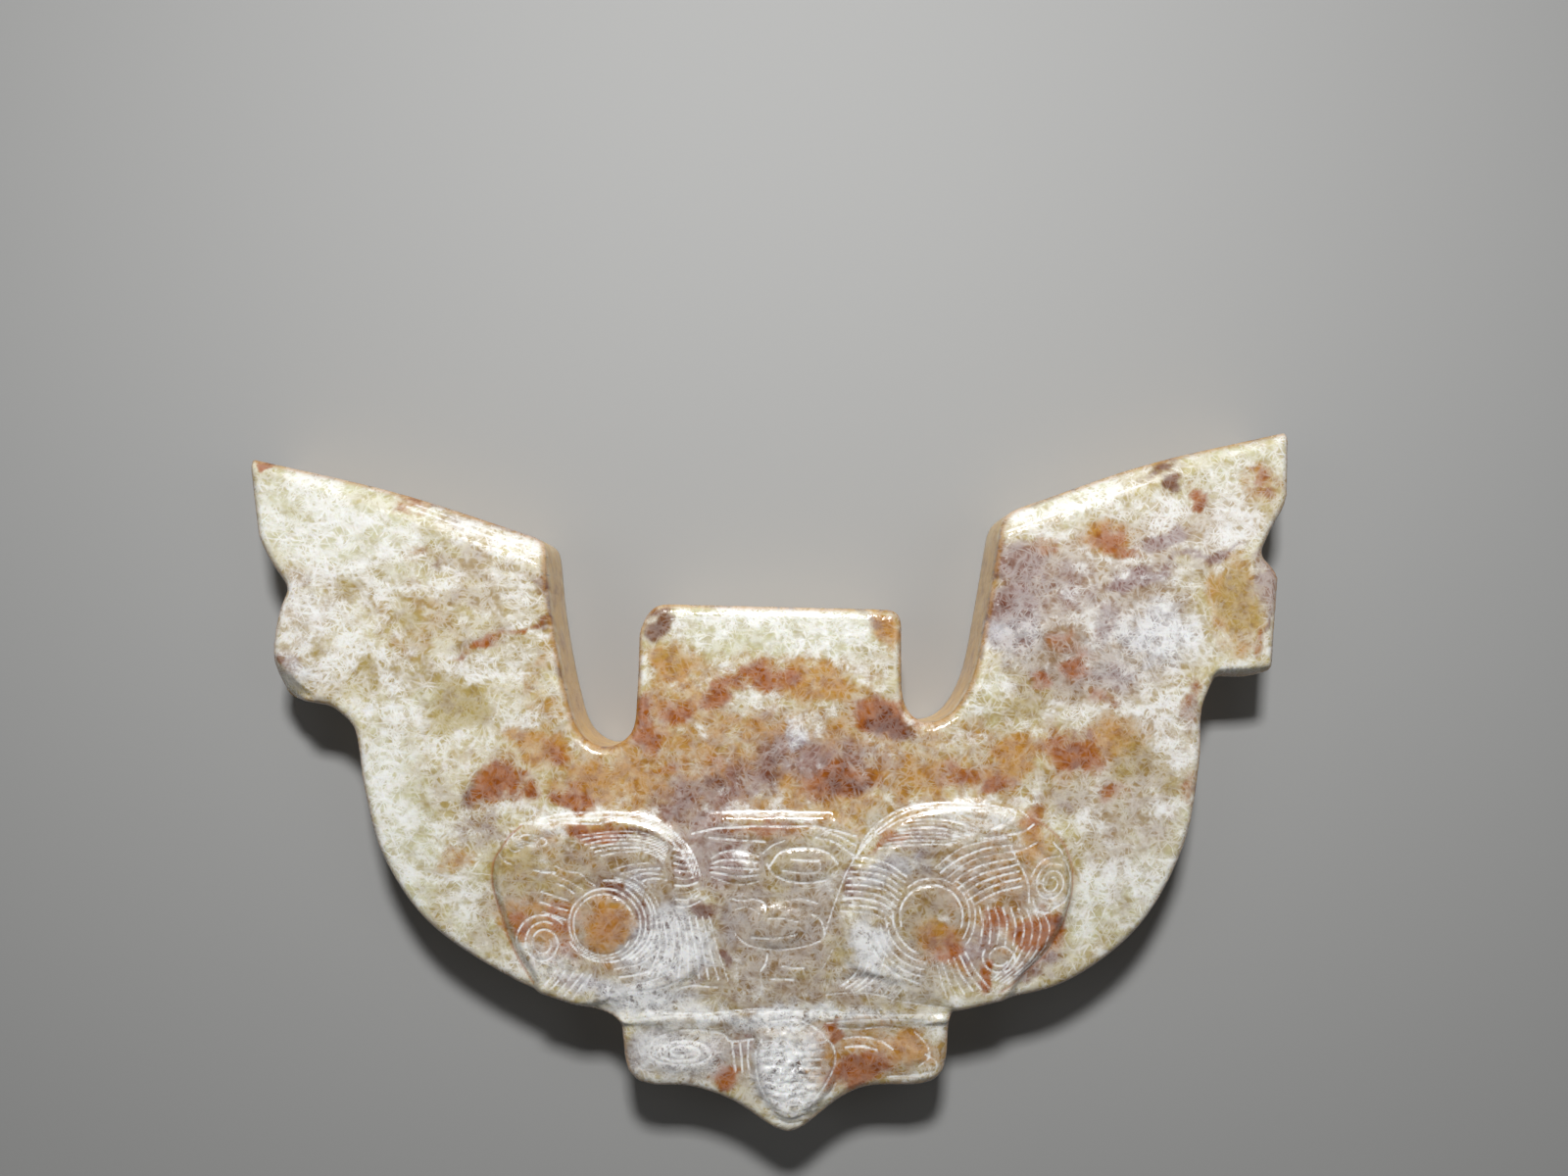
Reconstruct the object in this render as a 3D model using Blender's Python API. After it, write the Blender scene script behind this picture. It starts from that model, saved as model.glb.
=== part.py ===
"""Three-pronged jade ornament, carved from one flat piece of stone.

Two side prongs spread like a bird's wings beside a short square middle prong. Below them are a
half-round body and a tab that ends in a small beak. The front carries an animal mask in low
relief, and the back is flat. The ornament lies on its back with its front up.

Sizes are in millimetres and the mesh is in metres. A place on the front is given by its distance
across from the middle line (left is negative) and by its height above the beak's tip.
"""

import math
from dataclasses import dataclass

import bmesh
import bpy
import numpy as np
from mathutils import Vector
from mathutils.geometry import delaunay_2d_cdt

METRES_PER_MM = 0.001

# The stone as a whole
OVERALL_WIDTH = 60.2
OVERALL_HEIGHT = 40.5
FIELD_THICKNESS = 5.9
FIELD_BOW = 0.3
FRONT_EDGE_RADIUS = 0.45
BACK_EDGE_CHAMFER = 0.3

# How finely the outline, the carving and the plain field are divided
OUTLINE_STEP = 0.62
CARVING_STEP = 0.5
FIELD_STEP = 2.0

# The middle prong
MIDDLE_LEFT = 7.45
MIDDLE_RIGHT = 7.65
MIDDLE_TOP_HEIGHT = 30.5
MIDDLE_TOP_FALL = 0.35
MIDDLE_CORNER_ACROSS = 0.75
MIDDLE_CORNER_DOWN = 1.5
MIDDLE_CORNER_RADIUS = 0.8

# The tab and its beak
TAB_LEFT = 8.35
TAB_RIGHT = 10.3
TAB_FLOOR_HEIGHT = 2.8
TAB_CORNER_RADIUS = 1.65
TAB_SIDE_LEAN = 0.1
BEAK_ACROSS = 1.1
BEAK_TIP_HALF_WIDTH = 0.75
BEAK_TIP_DROP = 0.25
BEAK_HALF_WIDTH = 4.6
# Where the beak's hollow sides pass, as shares of its half width and of the tab floor's height
BEAK_LEFT_CURVE = ((0.7, 0.66), (1.2, 0.94))
BEAK_RIGHT_CURVE = ((0.67, 0.73), (1.0, 0.95))

# The mask in low relief: how high its parts stand above the field
PANEL_RISE = 0.5
FACE_RISE = 0.28
BAND_RISE = 0.4
BULGE_RISE = 0.45
PAD_RISE = 0.2
RELIEF_SLOPE = 0.45

# The band under the mask, the bulge of the beak below it and the pads on the tab
BAND_HEIGHT = 6.7
BAND_WIDTH = 0.8
BAND_OVERRUN = 1.4
BULGE_LEFT = 1.9
BULGE_RIGHT = 2.65
BULGE_TIP_HEIGHT = 0.75
PAD_FROM_SIDE = 3.6
PAD_HALF_WIDTH = 2.25
PAD_HALF_HEIGHT = 1.05

# The face. Places are across the middle line and above the beak's tip, sizes are half widths
# and half heights.
FOREHEAD_HEIGHT = 18.6
LEFT_EYE = (-9.3, 12.35)
RIGHT_EYE = (9.3, 12.8)
EYE_RADIUS = 2.38
PUPIL_RADIUS = 1.75
LEFT_VOLUTE = (-1.55, 15.35)
LEFT_VOLUTE_SIZE = (1.3, 1.0)
RIGHT_VOLUTE = (2.0, 15.5)
RIGHT_VOLUTE_SIZE = (1.95, 1.05)
NOSE = (0.45, 12.1)
NOSE_SIZE = (1.75, 1.35)
NOSTRIL_DROP = 2.0
DOME_RISE = 0.16
NOSE_RISE = 0.24
RING_DEPTH = 0.2
GROOVE_HALF_WIDTH = 0.28
GROOVE_DEPTH = 0.14

# A wing bevel's width at the tip as a share of that at the crook, and how far a bevel runs past
# its crease's ends as a share of its length
BEVEL_TIP_SHARE = 0.3
BEVEL_OVERRUN = 0.06


@dataclass(frozen=True)
class Wing:
    """One side prong with its half of the body. Outer features are measured from the wing's tip."""

    side: int
    tip_height: float
    # The inner top corner, and the highest part of the top edge's swell
    crook_out: float
    crook_height: float
    crook_rounding: float
    crest_out: float
    crest_height: float
    # The outer edge from the tip down to the lobe's sole: in from the tip and down from it
    shoulder: tuple
    notch_lip: tuple
    notch: tuple
    lobe_top: tuple
    lobe: tuple
    lobe_foot: tuple
    heel: tuple
    heel_rounding: float
    sole: tuple
    # The body from the neck to the tab's root: out from the middle line and up from the beak's tip
    nape: tuple
    neck: tuple
    flank: tuple
    hip: tuple
    belly: tuple
    groin: tuple
    lap: tuple
    root: tuple
    root_rounding: float
    # The gap between this wing and the middle prong
    gap_floor: tuple
    gap_turn: tuple
    gap_bend: tuple
    gap_wall: tuple
    # The bevel along the top edge, and the steep one under the lobe, whose inner end is in from the
    # tip by its reach and which climbs outwards to the lobe's side
    crest_bevel_width: float
    crest_bevel_slope: float
    heel_bevel_width: float
    heel_bevel_reach: float
    heel_bevel_climb: float
    heel_bevel_slope: float


LEFT_WING = Wing(
    side=-1,
    tip_height=OVERALL_HEIGHT - 1.55,
    crook_out=13.05,
    crook_height=34.25,
    crook_rounding=0.7,
    crest_out=21.8,
    crest_height=37.05,
    shoulder=(0.55, 4.75),
    notch_lip=(1.35, 6.15),
    notch=(2.3, 7.5),
    lobe_top=(1.75, 8.8),
    lobe=(1.46, 10.5),
    lobe_foot=(1.4, 12.35),
    heel=(1.9, 13.85),
    heel_rounding=0.5,
    sole=(3.3, 14.1),
    nape=(25.2, 24.6),
    neck=(24.0, 23.35),
    flank=(23.4, 19.8),
    hip=(22.32, 15.95),
    belly=(19.62, 12.05),
    groin=(14.75, 8.82),
    lap=(11.3, 7.5),
    root=(8.55, 6.7),
    root_rounding=0.5,
    gap_floor=(9.5, 22.2),
    gap_turn=(10.95, 23.1),
    gap_bend=(11.75, 25.4),
    gap_wall=(12.6, 29.9),
    crest_bevel_width=1.5,
    crest_bevel_slope=0.75,
    heel_bevel_width=0.45,
    heel_bevel_reach=3.5,
    heel_bevel_climb=1.9,
    heel_bevel_slope=1.0,
)
RIGHT_WING = Wing(
    side=1,
    tip_height=OVERALL_HEIGHT,
    crook_out=13.6,
    crook_height=35.8,
    crook_rounding=1.0,
    crest_out=22.2,
    crest_height=38.72,
    shoulder=(0.05, 4.1),
    notch_lip=(1.05, 5.75),
    notch=(1.65, 7.1),
    lobe_top=(0.65, 8.25),
    lobe=(0.65, 9.2),
    lobe_foot=(0.85, 12.0),
    heel=(0.95, 13.87),
    heel_rounding=0.3,
    sole=(2.4, 14.22),
    nape=(25.8, 26.35),
    neck=(25.08, 24.4),
    flank=(24.93, 21.3),
    hip=(24.0, 16.5),
    belly=(21.4, 11.87),
    groin=(17.2, 8.68),
    lap=(12.7, 7.52),
    root=(10.42, 7.0),
    root_rounding=0.35,
    gap_floor=(9.3, 23.6),
    gap_turn=(10.6, 24.2),
    gap_bend=(11.82, 26.3),
    gap_wall=(12.6, 29.9),
    crest_bevel_width=1.35,
    crest_bevel_slope=0.75,
    heel_bevel_width=0.1,
    heel_bevel_reach=4.2,
    heel_bevel_climb=0.25,
    heel_bevel_slope=1.2,
)
WINGS = (RIGHT_WING, LEFT_WING)


def knot(across, height, rounding=None):
    """A point of an outline. With a rounding it is a corner, and without one the curve runs through."""
    return Vector((across, height - OVERALL_HEIGHT / 2)), rounding


def wing_knots(wing):
    """The knots of one side from the tab's root round to the gap's floor."""

    def out(place, rounding=None):
        return knot(wing.side * place[0], place[1], rounding)

    def from_tip(place, rounding=None):
        return out((OVERALL_WIDTH / 2 - place[0], wing.tip_height - place[1]), rounding)

    crook = (wing.crook_out, wing.crook_height)
    crest = (wing.crest_out, wing.crest_height)
    return [
        out(wing.root, wing.root_rounding),
        out(wing.lap),
        out(wing.groin),
        out(wing.belly),
        out(wing.hip),
        out(wing.flank),
        out(wing.neck),
        out(wing.nape, 0.5),
        from_tip(wing.sole),
        from_tip(wing.heel, wing.heel_rounding),
        from_tip(wing.lobe_foot),
        from_tip(wing.lobe),
        from_tip(wing.lobe_top),
        from_tip(wing.notch, 0.4),
        from_tip(wing.notch_lip),
        from_tip(wing.shoulder, 0.8),
        from_tip((0.0, 0.0), 0.15),
        out(crest),
        out(crook, wing.crook_rounding),
        out(wing.gap_wall),
        out(wing.gap_bend),
        out(wing.gap_turn),
        out(wing.gap_floor),
    ]


def outline_knots():
    """The whole outline, anticlockwise from the beak's tip."""
    right_floor = RIGHT_WING.gap_floor[1]
    left_floor = LEFT_WING.gap_floor[1]
    side_height = (TAB_FLOOR_HEIGHT + RIGHT_WING.root[1]) / 2
    beak_right = [
        knot(BEAK_ACROSS + BEAK_HALF_WIDTH * out, TAB_FLOOR_HEIGHT * up) for out, up in BEAK_RIGHT_CURVE
    ]
    beak_left = [
        knot(BEAK_ACROSS - BEAK_HALF_WIDTH * out, TAB_FLOOR_HEIGHT * up) for out, up in BEAK_LEFT_CURVE
    ]
    tab_right = [
        knot(BEAK_ACROSS, 0.0),
        knot(BEAK_ACROSS + BEAK_TIP_HALF_WIDTH, BEAK_TIP_DROP),
        *beak_right,
        knot(TAB_RIGHT - TAB_SIDE_LEAN, TAB_FLOOR_HEIGHT, TAB_CORNER_RADIUS),
        knot(TAB_RIGHT, side_height),
    ]
    middle = [
        knot(MIDDLE_RIGHT + 0.65, right_floor + 0.4),
        knot(MIDDLE_RIGHT + 0.1, right_floor + 1.4),
        knot(MIDDLE_RIGHT, right_floor + 3.2),
        knot(MIDDLE_RIGHT, MIDDLE_TOP_HEIGHT - MIDDLE_TOP_FALL, MIDDLE_CORNER_RADIUS),
        knot(-MIDDLE_LEFT + MIDDLE_CORNER_ACROSS, MIDDLE_TOP_HEIGHT, MIDDLE_CORNER_RADIUS),
        knot(-MIDDLE_LEFT, MIDDLE_TOP_HEIGHT - MIDDLE_CORNER_DOWN, 0.4),
        knot(-MIDDLE_LEFT - 0.15, left_floor + 3.0),
        knot(-MIDDLE_LEFT - 0.5, left_floor + 0.8),
    ]
    tab_left = [
        knot(-TAB_LEFT, side_height),
        knot(-TAB_LEFT + TAB_SIDE_LEAN, TAB_FLOOR_HEIGHT, TAB_CORNER_RADIUS),
        *beak_left[::-1],
        knot(BEAK_ACROSS - BEAK_TIP_HALF_WIDTH, BEAK_TIP_DROP),
    ]
    return tab_right + wing_knots(RIGHT_WING) + middle + wing_knots(LEFT_WING)[::-1] + tab_left


def curve_through(knots, step):
    """Points of a smooth curve through the knots, about one step apart, without the last knot."""
    chords = [end - start for start, end in zip(knots, knots[1:])]
    tangents = [chords[0].normalized()]
    for before, after in zip(chords, chords[1:]):
        tangents.append((before + after) / (before.length + after.length))
    tangents.append(chords[-1].normalized())
    points = []
    for index, chord in enumerate(chords):
        pieces = max(1, round(chord.length / step))
        for piece in range(pieces):
            t = piece / pieces
            points.append(
                knots[index] * (2 * t**3 - 3 * t**2 + 1)
                + knots[index + 1] * (3 * t**2 - 2 * t**3)
                + tangents[index] * chord.length * (t**3 - 2 * t**2 + t)
                + tangents[index + 1] * chord.length * (t**3 - t**2)
            )
    return points


def rounded_corner(before, corner, after, rounding, pieces=3):
    """Points that turn from one straight run to the next in a soft corner."""
    entry = corner + (before - corner).normalized() * rounding
    leave = corner + (after - corner).normalized() * rounding
    points = []
    for piece in range(pieces + 1):
        t = piece / pieces
        points.append(entry * (1 - t) ** 2 + corner * 2 * t * (1 - t) + leave * t**2)
    return points


def closed_outline(knots, step):
    """The points of a closed outline whose knots are corners or places the curve runs through."""
    count = len(knots)
    first = next(i for i in range(count) if knots[i][1] is not None)
    order = [(first + i) % count for i in range(count)]
    points = []
    run = []
    for index in order:
        place, rounding = knots[index]
        if rounding is None:
            run.append(place)
            continue
        before = knots[index - 1][0]
        after = knots[(index + 1) % count][0]
        turn = rounded_corner(before, place, after, rounding)
        if run:
            points += curve_through(run + [turn[0]], step)
        points += turn[:-1]
        run = [turn[-1]]
    points += curve_through(run + [points[0]], step)
    return np.array([tuple(point) for point in points])


def smooth_loop(places, step=CARVING_STEP):
    """A closed smooth loop through places given across and above the beak's tip."""
    knots = [knot(*place)[0] for place in places]
    wrapped = knots[-2:] + knots + knots[:2]
    lengths = [max(1, round((b - a).length / step)) for a, b in zip(wrapped, wrapped[1:])]
    points = curve_through(wrapped, step)
    start = sum(lengths[:2])
    return np.array([tuple(point) for point in points[start : start + sum(lengths[2:-1])]])


def ellipse(centre, half_across, half_high, step=CARVING_STEP):
    """A closed ellipse round a centre."""
    count = max(12, round(math.pi * (half_across + half_high) / step))
    angles = np.arange(count) * 2 * math.pi / count
    middle = knot(*centre)[0]
    across = middle.x + half_across * np.cos(angles)
    up = middle.y + half_high * np.sin(angles)
    return np.column_stack([across, up])


def distance_to_path(points, path, closed):
    """How far each point is from the nearest segment of a path."""
    starts = path if closed else path[:-1]
    ends = np.roll(path, -1, axis=0) if closed else path[1:]
    nearest = np.full(len(points), np.inf)
    for start, end in zip(starts, ends):
        run = end - start
        along = np.clip((points - start) @ run / max(run @ run, 1e-12), 0, 1)
        gap = points - start - along[:, None] * run
        nearest = np.minimum(nearest, np.hypot(gap[:, 0], gap[:, 1]))
    return nearest


def inside_loop(points, loop):
    """Which points are inside a closed loop, by counting crossings."""
    inside = np.zeros(len(points), bool)
    for start, end in zip(loop, np.roll(loop, -1, axis=0)):
        crosses = (start[1] > points[:, 1]) != (end[1] > points[:, 1])
        rise = end[1] - start[1]
        if rise == 0:
            continue
        meets = start[0] + (points[:, 1] - start[1]) * (end[0] - start[0]) / rise
        inside ^= crosses & (points[:, 0] < meets)
    return inside


def depth_inside(points, loop):
    """Distance from the loop, positive inside it and negative outside."""
    distance = distance_to_path(points, loop, True)
    return np.where(inside_loop(points, loop), distance, -distance)


def inset(loop, amount):
    """The loop drawn in by an amount along its normals. Loops run anticlockwise."""
    run = np.roll(loop, -1, axis=0) - np.roll(loop, 1, axis=0)
    normal = np.column_stack([-run[:, 1], run[:, 0]])
    normal /= np.linalg.norm(normal, axis=1)[:, None]
    return loop + normal * amount


@dataclass(frozen=True)
class Plate:
    """A raised area of the relief with a sloping edge."""

    loop: np.ndarray
    rise: float
    slope: float

    def height(self, points):
        return self.rise * np.clip(depth_inside(points, self.loop) / self.slope, 0, 1)

    def creases(self):
        return [self.loop, inset(self.loop, self.slope)]


@dataclass(frozen=True)
class Ring:
    """A ground-out ring round a low dome, as on an eye or a volute."""

    loop: np.ndarray
    dome: float
    depth: float

    def height(self, points):
        inward = depth_inside(points, self.loop)
        groove = np.clip(1 - np.abs(inward) / GROOVE_HALF_WIDTH, 0, 1)
        swell = np.clip(inward / max(inward.max(), GROOVE_HALF_WIDTH), 0, 1)
        return self.dome * np.sqrt(swell * (2 - swell)) - self.depth * groove

    def creases(self):
        return [self.loop, inset(self.loop, GROOVE_HALF_WIDTH), inset(self.loop, -GROOVE_HALF_WIDTH)]


@dataclass(frozen=True)
class Groove:
    """A cut line with sloping sides."""

    path: np.ndarray
    depth: float = GROOVE_DEPTH

    def height(self, points):
        distance = distance_to_path(points, self.path, False)
        return -self.depth * np.clip(1 - distance / GROOVE_HALF_WIDTH, 0, 1)


def cut_line(*places):
    """The path of a groove through places given across and above the beak's tip."""
    knots = [knot(*place)[0] for place in places]
    points = curve_through(knots, CARVING_STEP) + [knots[-1]]
    return Groove(np.array([tuple(point) for point in points]))


@dataclass(frozen=True)
class Bevel:
    """A sloping cut beyond a straight crease that runs from start to end."""

    start: np.ndarray
    end: np.ndarray
    outward: np.ndarray
    slope: float

    def drop(self, points):
        run = self.end - self.start
        along = (points - self.start) @ run / (run @ run)
        beyond = (points - self.start) @ self.outward
        reached = (along > -BEVEL_OVERRUN) & (along < 1 + BEVEL_OVERRUN)
        return np.where(reached, self.slope * np.clip(beyond, 0, None), 0)


def bevel_between(start, end, slope, below):
    """A bevel beyond the crease between two places, on its upper or its lower side."""
    first = np.array(start)
    last = np.array(end)
    run = (last - first) / np.linalg.norm(last - first)
    outward = np.array([-run[1], run[0]])
    if (outward[1] > 0) == below:
        outward = -outward
    return Bevel(first, last, outward, slope)


def wing_bevels(wing):
    """The long bevel along a wing's top edge and the short steep one under its lobe."""
    middle = OVERALL_HEIGHT / 2
    tip = OVERALL_WIDTH / 2
    crook = (wing.side * wing.crook_out, wing.crook_height - middle - wing.crest_bevel_width)
    near_tip = (wing.side * tip, wing.tip_height - middle - BEVEL_TIP_SHARE * wing.crest_bevel_width)
    crease_height = wing.tip_height - middle - wing.heel[1] + wing.heel_bevel_width
    inner = (wing.side * (tip - wing.heel_bevel_reach), crease_height)
    outer = (wing.side * (tip - wing.lobe[0]), crease_height + wing.heel_bevel_climb)
    return [
        bevel_between(crook, near_tip, wing.crest_bevel_slope, below=False),
        bevel_between(inner, outer, wing.heel_bevel_slope, below=True),
    ]


def mask_plates():
    """The raised areas of the mask: the two eye panels, the face between them, band, beak and pads."""
    left_panel = smooth_loop(
        [
            (-13.6, 7.0),
            (-8.0, 7.75),
            (-4.4, 8.9),
            (-3.3, 11.5),
            (-3.95, 15.1),
            (-5.3, 17.5),
            (-8.0, FOREHEAD_HEIGHT - 0.05),
            (-11.7, FOREHEAD_HEIGHT - 0.2),
            (-14.9, 17.35),
            (-15.9, 14.9),
            (-15.4, 12.8),
            (-14.5, 10.6),
            (-13.5, 8.8),
        ]
    )
    right_panel = smooth_loop(
        [
            (12.9, 6.5),
            (14.6, 9.0),
            (16.9, 11.9),
            (17.5, 14.6),
            (16.6, 17.0),
            (14.3, FOREHEAD_HEIGHT + 0.1),
            (10.8, FOREHEAD_HEIGHT + 0.6),
            (7.6, FOREHEAD_HEIGHT - 0.2),
            (5.65, 16.4),
            (4.4, 12.9),
            (4.4, 9.9),
            (8.0, 8.0),
        ]
    )
    band_top = BAND_HEIGHT + BAND_WIDTH / 2
    band_floor = BAND_HEIGHT - BAND_WIDTH / 2
    face = closed_outline(
        [
            knot(-9.6, band_top, 0.3),
            knot(11.2, band_top, 0.3),
            knot(6.4, 12.0),
            knot(5.2, FOREHEAD_HEIGHT - 1.0),
            knot(3.8, FOREHEAD_HEIGHT, 0.5),
            knot(-2.9, FOREHEAD_HEIGHT, 0.5),
            knot(-4.4, FOREHEAD_HEIGHT - 1.0),
            knot(-5.8, 12.0),
        ],
        CARVING_STEP,
    )
    band_left = -TAB_LEFT - BAND_OVERRUN
    band_right = TAB_RIGHT + BAND_OVERRUN
    band = closed_outline(
        [
            knot(band_left, band_floor, 0.1),
            knot(band_right, band_floor, 0.1),
            knot(band_right, band_top, 0.1),
            knot(band_left, band_top, 0.1),
        ],
        CARVING_STEP,
    )
    bulge = closed_outline(
        [
            knot(BEAK_ACROSS - BULGE_LEFT, band_floor, 0.3),
            knot(BEAK_ACROSS - BULGE_LEFT, TAB_FLOOR_HEIGHT),
            knot(BEAK_ACROSS, BULGE_TIP_HEIGHT),
            knot(BEAK_ACROSS + BULGE_RIGHT, TAB_FLOOR_HEIGHT),
            knot(BEAK_ACROSS + BULGE_RIGHT, band_floor, 0.3),
        ],
        CARVING_STEP,
    )
    pad_height = (band_floor + TAB_FLOOR_HEIGHT) / 2
    pads = [
        ellipse((across, pad_height), PAD_HALF_WIDTH, PAD_HALF_HEIGHT)
        for across in (-TAB_LEFT + PAD_FROM_SIDE, TAB_RIGHT - PAD_FROM_SIDE)
    ]
    return [
        Plate(left_panel, PANEL_RISE, RELIEF_SLOPE),
        Plate(right_panel, PANEL_RISE, RELIEF_SLOPE),
        Plate(face, FACE_RISE, RELIEF_SLOPE),
        Plate(band, BAND_RISE, RELIEF_SLOPE / 2),
        Plate(bulge, BULGE_RISE, RELIEF_SLOPE),
    ] + [Plate(pad, PAD_RISE, RELIEF_SLOPE) for pad in pads]


def mask_rings():
    """Eyes, the volutes on the forehead and the nose."""
    eyes = (LEFT_EYE, RIGHT_EYE)
    rings = [Ring(ellipse(eye, EYE_RADIUS, EYE_RADIUS), 0.0, RING_DEPTH) for eye in eyes]
    rings += [Ring(ellipse(eye, PUPIL_RADIUS, PUPIL_RADIUS), DOME_RISE, GROOVE_DEPTH) for eye in eyes]
    rings += [
        Ring(ellipse(LEFT_VOLUTE, *LEFT_VOLUTE_SIZE), DOME_RISE, GROOVE_DEPTH),
        Ring(ellipse(RIGHT_VOLUTE, *RIGHT_VOLUTE_SIZE), DOME_RISE, GROOVE_DEPTH),
        Ring(ellipse(NOSE, *NOSE_SIZE), NOSE_RISE, GROOVE_DEPTH),
    ]
    return rings


def mask_grooves():
    """The broad cut lines: the brows, the base of the nose and the corners of the mouth."""
    nose_across, nose_height = NOSE
    nostril_height = nose_height - NOSE_SIZE[1]
    return [
        cut_line((-14.6, 16.2), (-12.4, 17.2), (-9.1, 17.55), (-6.6, 17.0), (-5.0, 15.2)),
        cut_line((6.4, 16.1), (8.2, 17.7), (10.9, 18.3), (13.8, 17.6), (16.0, 15.8)),
        cut_line(
            (nose_across - NOSE_SIZE[0], nostril_height),
            (nose_across, nose_height - NOSTRIL_DROP),
            (nose_across + NOSE_SIZE[0], nostril_height),
        ),
        cut_line((-5.9, 8.4), (-4.1, 8.8), (-2.6, 8.4)),
        cut_line((3.4, 8.7), (5.7, 9.1), (8.5, 8.5)),
    ]


def front_heights(points, outline, plates, details, bevels):
    """The height of the front over each point."""
    half_width = OVERALL_WIDTH / 2
    field = FIELD_THICKNESS - FIELD_BOW * (points[:, 0] / half_width) ** 2
    relief = np.max([plate.height(points) for plate in plates], axis=0)
    relief += np.sum([detail.height(points) for detail in details], axis=0)
    cut = np.max([bevel.drop(points) for bevel in bevels], axis=0)
    carved = np.where(cut > 0, np.minimum(field + relief, field - cut), field + relief)
    into_edge = np.clip(FRONT_EDGE_RADIUS - distance_to_path(points, outline, True), 0, None)
    rounding = FRONT_EDGE_RADIUS - np.sqrt(FRONT_EDGE_RADIUS**2 - into_edge**2)
    return carved - rounding


def field_grid(outline, taken):
    """Points spread over the plain field, clear of the outline and of the points already taken."""
    half_width = OVERALL_WIDTH / 2
    half_height = OVERALL_HEIGHT / 2
    across = np.arange(-half_width, half_width, FIELD_STEP) + FIELD_STEP / 2
    up = np.arange(-half_height, half_height, FIELD_STEP) + FIELD_STEP / 2
    grid = np.array([(x, y) for x in across for y in up])
    clear = depth_inside(grid, outline) > FRONT_EDGE_RADIUS + FIELD_STEP / 3
    grid = grid[clear]
    gap = np.linalg.norm(grid[:, None] - taken[None], axis=2).min(axis=1)
    return grid[gap > FIELD_STEP / 3]


def crease_paths(outline, plates, rings, grooves, bevels):
    """Each line that the front's triangles have to follow, as a path and whether it is closed."""
    paths = [(inset(outline, FRONT_EDGE_RADIUS * share), True) for share in (0.3, 1.0)]
    for form in plates + rings:
        paths += [(loop, True) for loop in form.creases()]
    for groove in grooves:
        run = np.gradient(groove.path, axis=0)
        normal = np.column_stack([-run[:, 1], run[:, 0]])
        normal /= np.linalg.norm(normal, axis=1)[:, None]
        for offset in (-GROOVE_HALF_WIDTH, 0.0, GROOVE_HALF_WIDTH):
            paths.append((groove.path + normal * offset, False))
    for bevel in bevels:
        count = max(2, round(np.linalg.norm(bevel.end - bevel.start) / OUTLINE_STEP))
        share = np.linspace(0, 1, count)[:, None]
        paths.append((bevel.start * (1 - share) + bevel.end * share, False))
    return paths


def front_mesh():
    """The front as points with their heights, and triangles between them."""
    outline = closed_outline(outline_knots(), OUTLINE_STEP)
    plates = mask_plates()
    rings = mask_rings()
    grooves = mask_grooves()
    bevels = [bevel for wing in WINGS for bevel in wing_bevels(wing)]
    points = [outline]
    edges = []
    total = len(outline)
    for path, closed in crease_paths(outline, plates, rings, grooves, bevels):
        clear = depth_inside(path, outline) > FRONT_EDGE_RADIUS * 0.2
        count = len(path)
        for index in range(count if closed else count - 1):
            if clear[index] and clear[(index + 1) % count]:
                edges.append((total + index, total + (index + 1) % count))
        points.append(path)
        total += count
    points.append(field_grid(outline, np.concatenate(points)))
    used = np.concatenate(points)
    flat, _, triangles, _, _, sources = delaunay_2d_cdt(
        [Vector(point) for point in used], edges, [list(range(len(outline)))], 1, 1e-4, True
    )
    kept = [triangle for triangle, source in zip(triangles, sources) if source]
    places = np.array([tuple(point) for point in flat])
    heights = front_heights(places, outline, plates, rings + grooves, bevels)
    return np.column_stack([places, heights]), kept


def make_ornament():
    """The closed solid: the carved front, its sides and the flat back."""
    points, triangles = front_mesh()
    bm = bmesh.new()
    used = sorted({index for triangle in triangles for index in triangle})
    made = {index: bm.verts.new(points[index] * METRES_PER_MM) for index in used}
    for triangle in triangles:
        bm.faces.new([made[index] for index in triangle])
    outline = closed_outline(outline_knots(), OUTLINE_STEP)
    rim = [edge for edge in bm.edges if edge.is_boundary]
    for height, loop in (
        (BACK_EDGE_CHAMFER, outline),
        (0.0, inset(outline, BACK_EDGE_CHAMFER)),
    ):
        made = bmesh.ops.extrude_edge_only(bm, edges=rim)["geom"]
        for vertex in [item for item in made if isinstance(item, bmesh.types.BMVert)]:
            place = np.array(vertex.co[:2]) / METRES_PER_MM
            nearest = np.argmin(np.linalg.norm(outline - place, axis=1))
            vertex.co = Vector((*loop[nearest], height)) * METRES_PER_MM
        rim = [item for item in made if isinstance(item, bmesh.types.BMEdge) and item.is_boundary]
    bmesh.ops.triangle_fill(bm, edges=rim, use_beauty=True)
    bmesh.ops.recalc_face_normals(bm, faces=bm.faces)
    mesh = bpy.data.meshes.new("jade_ornament")
    bm.to_mesh(mesh)
    bm.free()
    mesh.shade_smooth()
    mesh.set_sharp_from_angle(angle=math.radians(40))
    return mesh


def jade_material():
    """Polished mottled jade, here in its mean colour."""
    material = bpy.data.materials.new("jade")
    material.use_nodes = True
    shader = material.node_tree.nodes["Principled BSDF"]
    shader.inputs["Base Color"].default_value = (0.46, 0.38, 0.24, 1.0)
    shader.inputs["Roughness"].default_value = 0.3
    shader.inputs["Metallic"].default_value = 0.0
    return material


def main():
    for old in list(bpy.data.objects):
        bpy.data.objects.remove(old, do_unlink=True)
    mesh = make_ornament()
    mesh.materials.append(jade_material())
    ornament = bpy.data.objects.new("jade_ornament", mesh)
    bpy.context.scene.collection.objects.link(ornament)


main()
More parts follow.
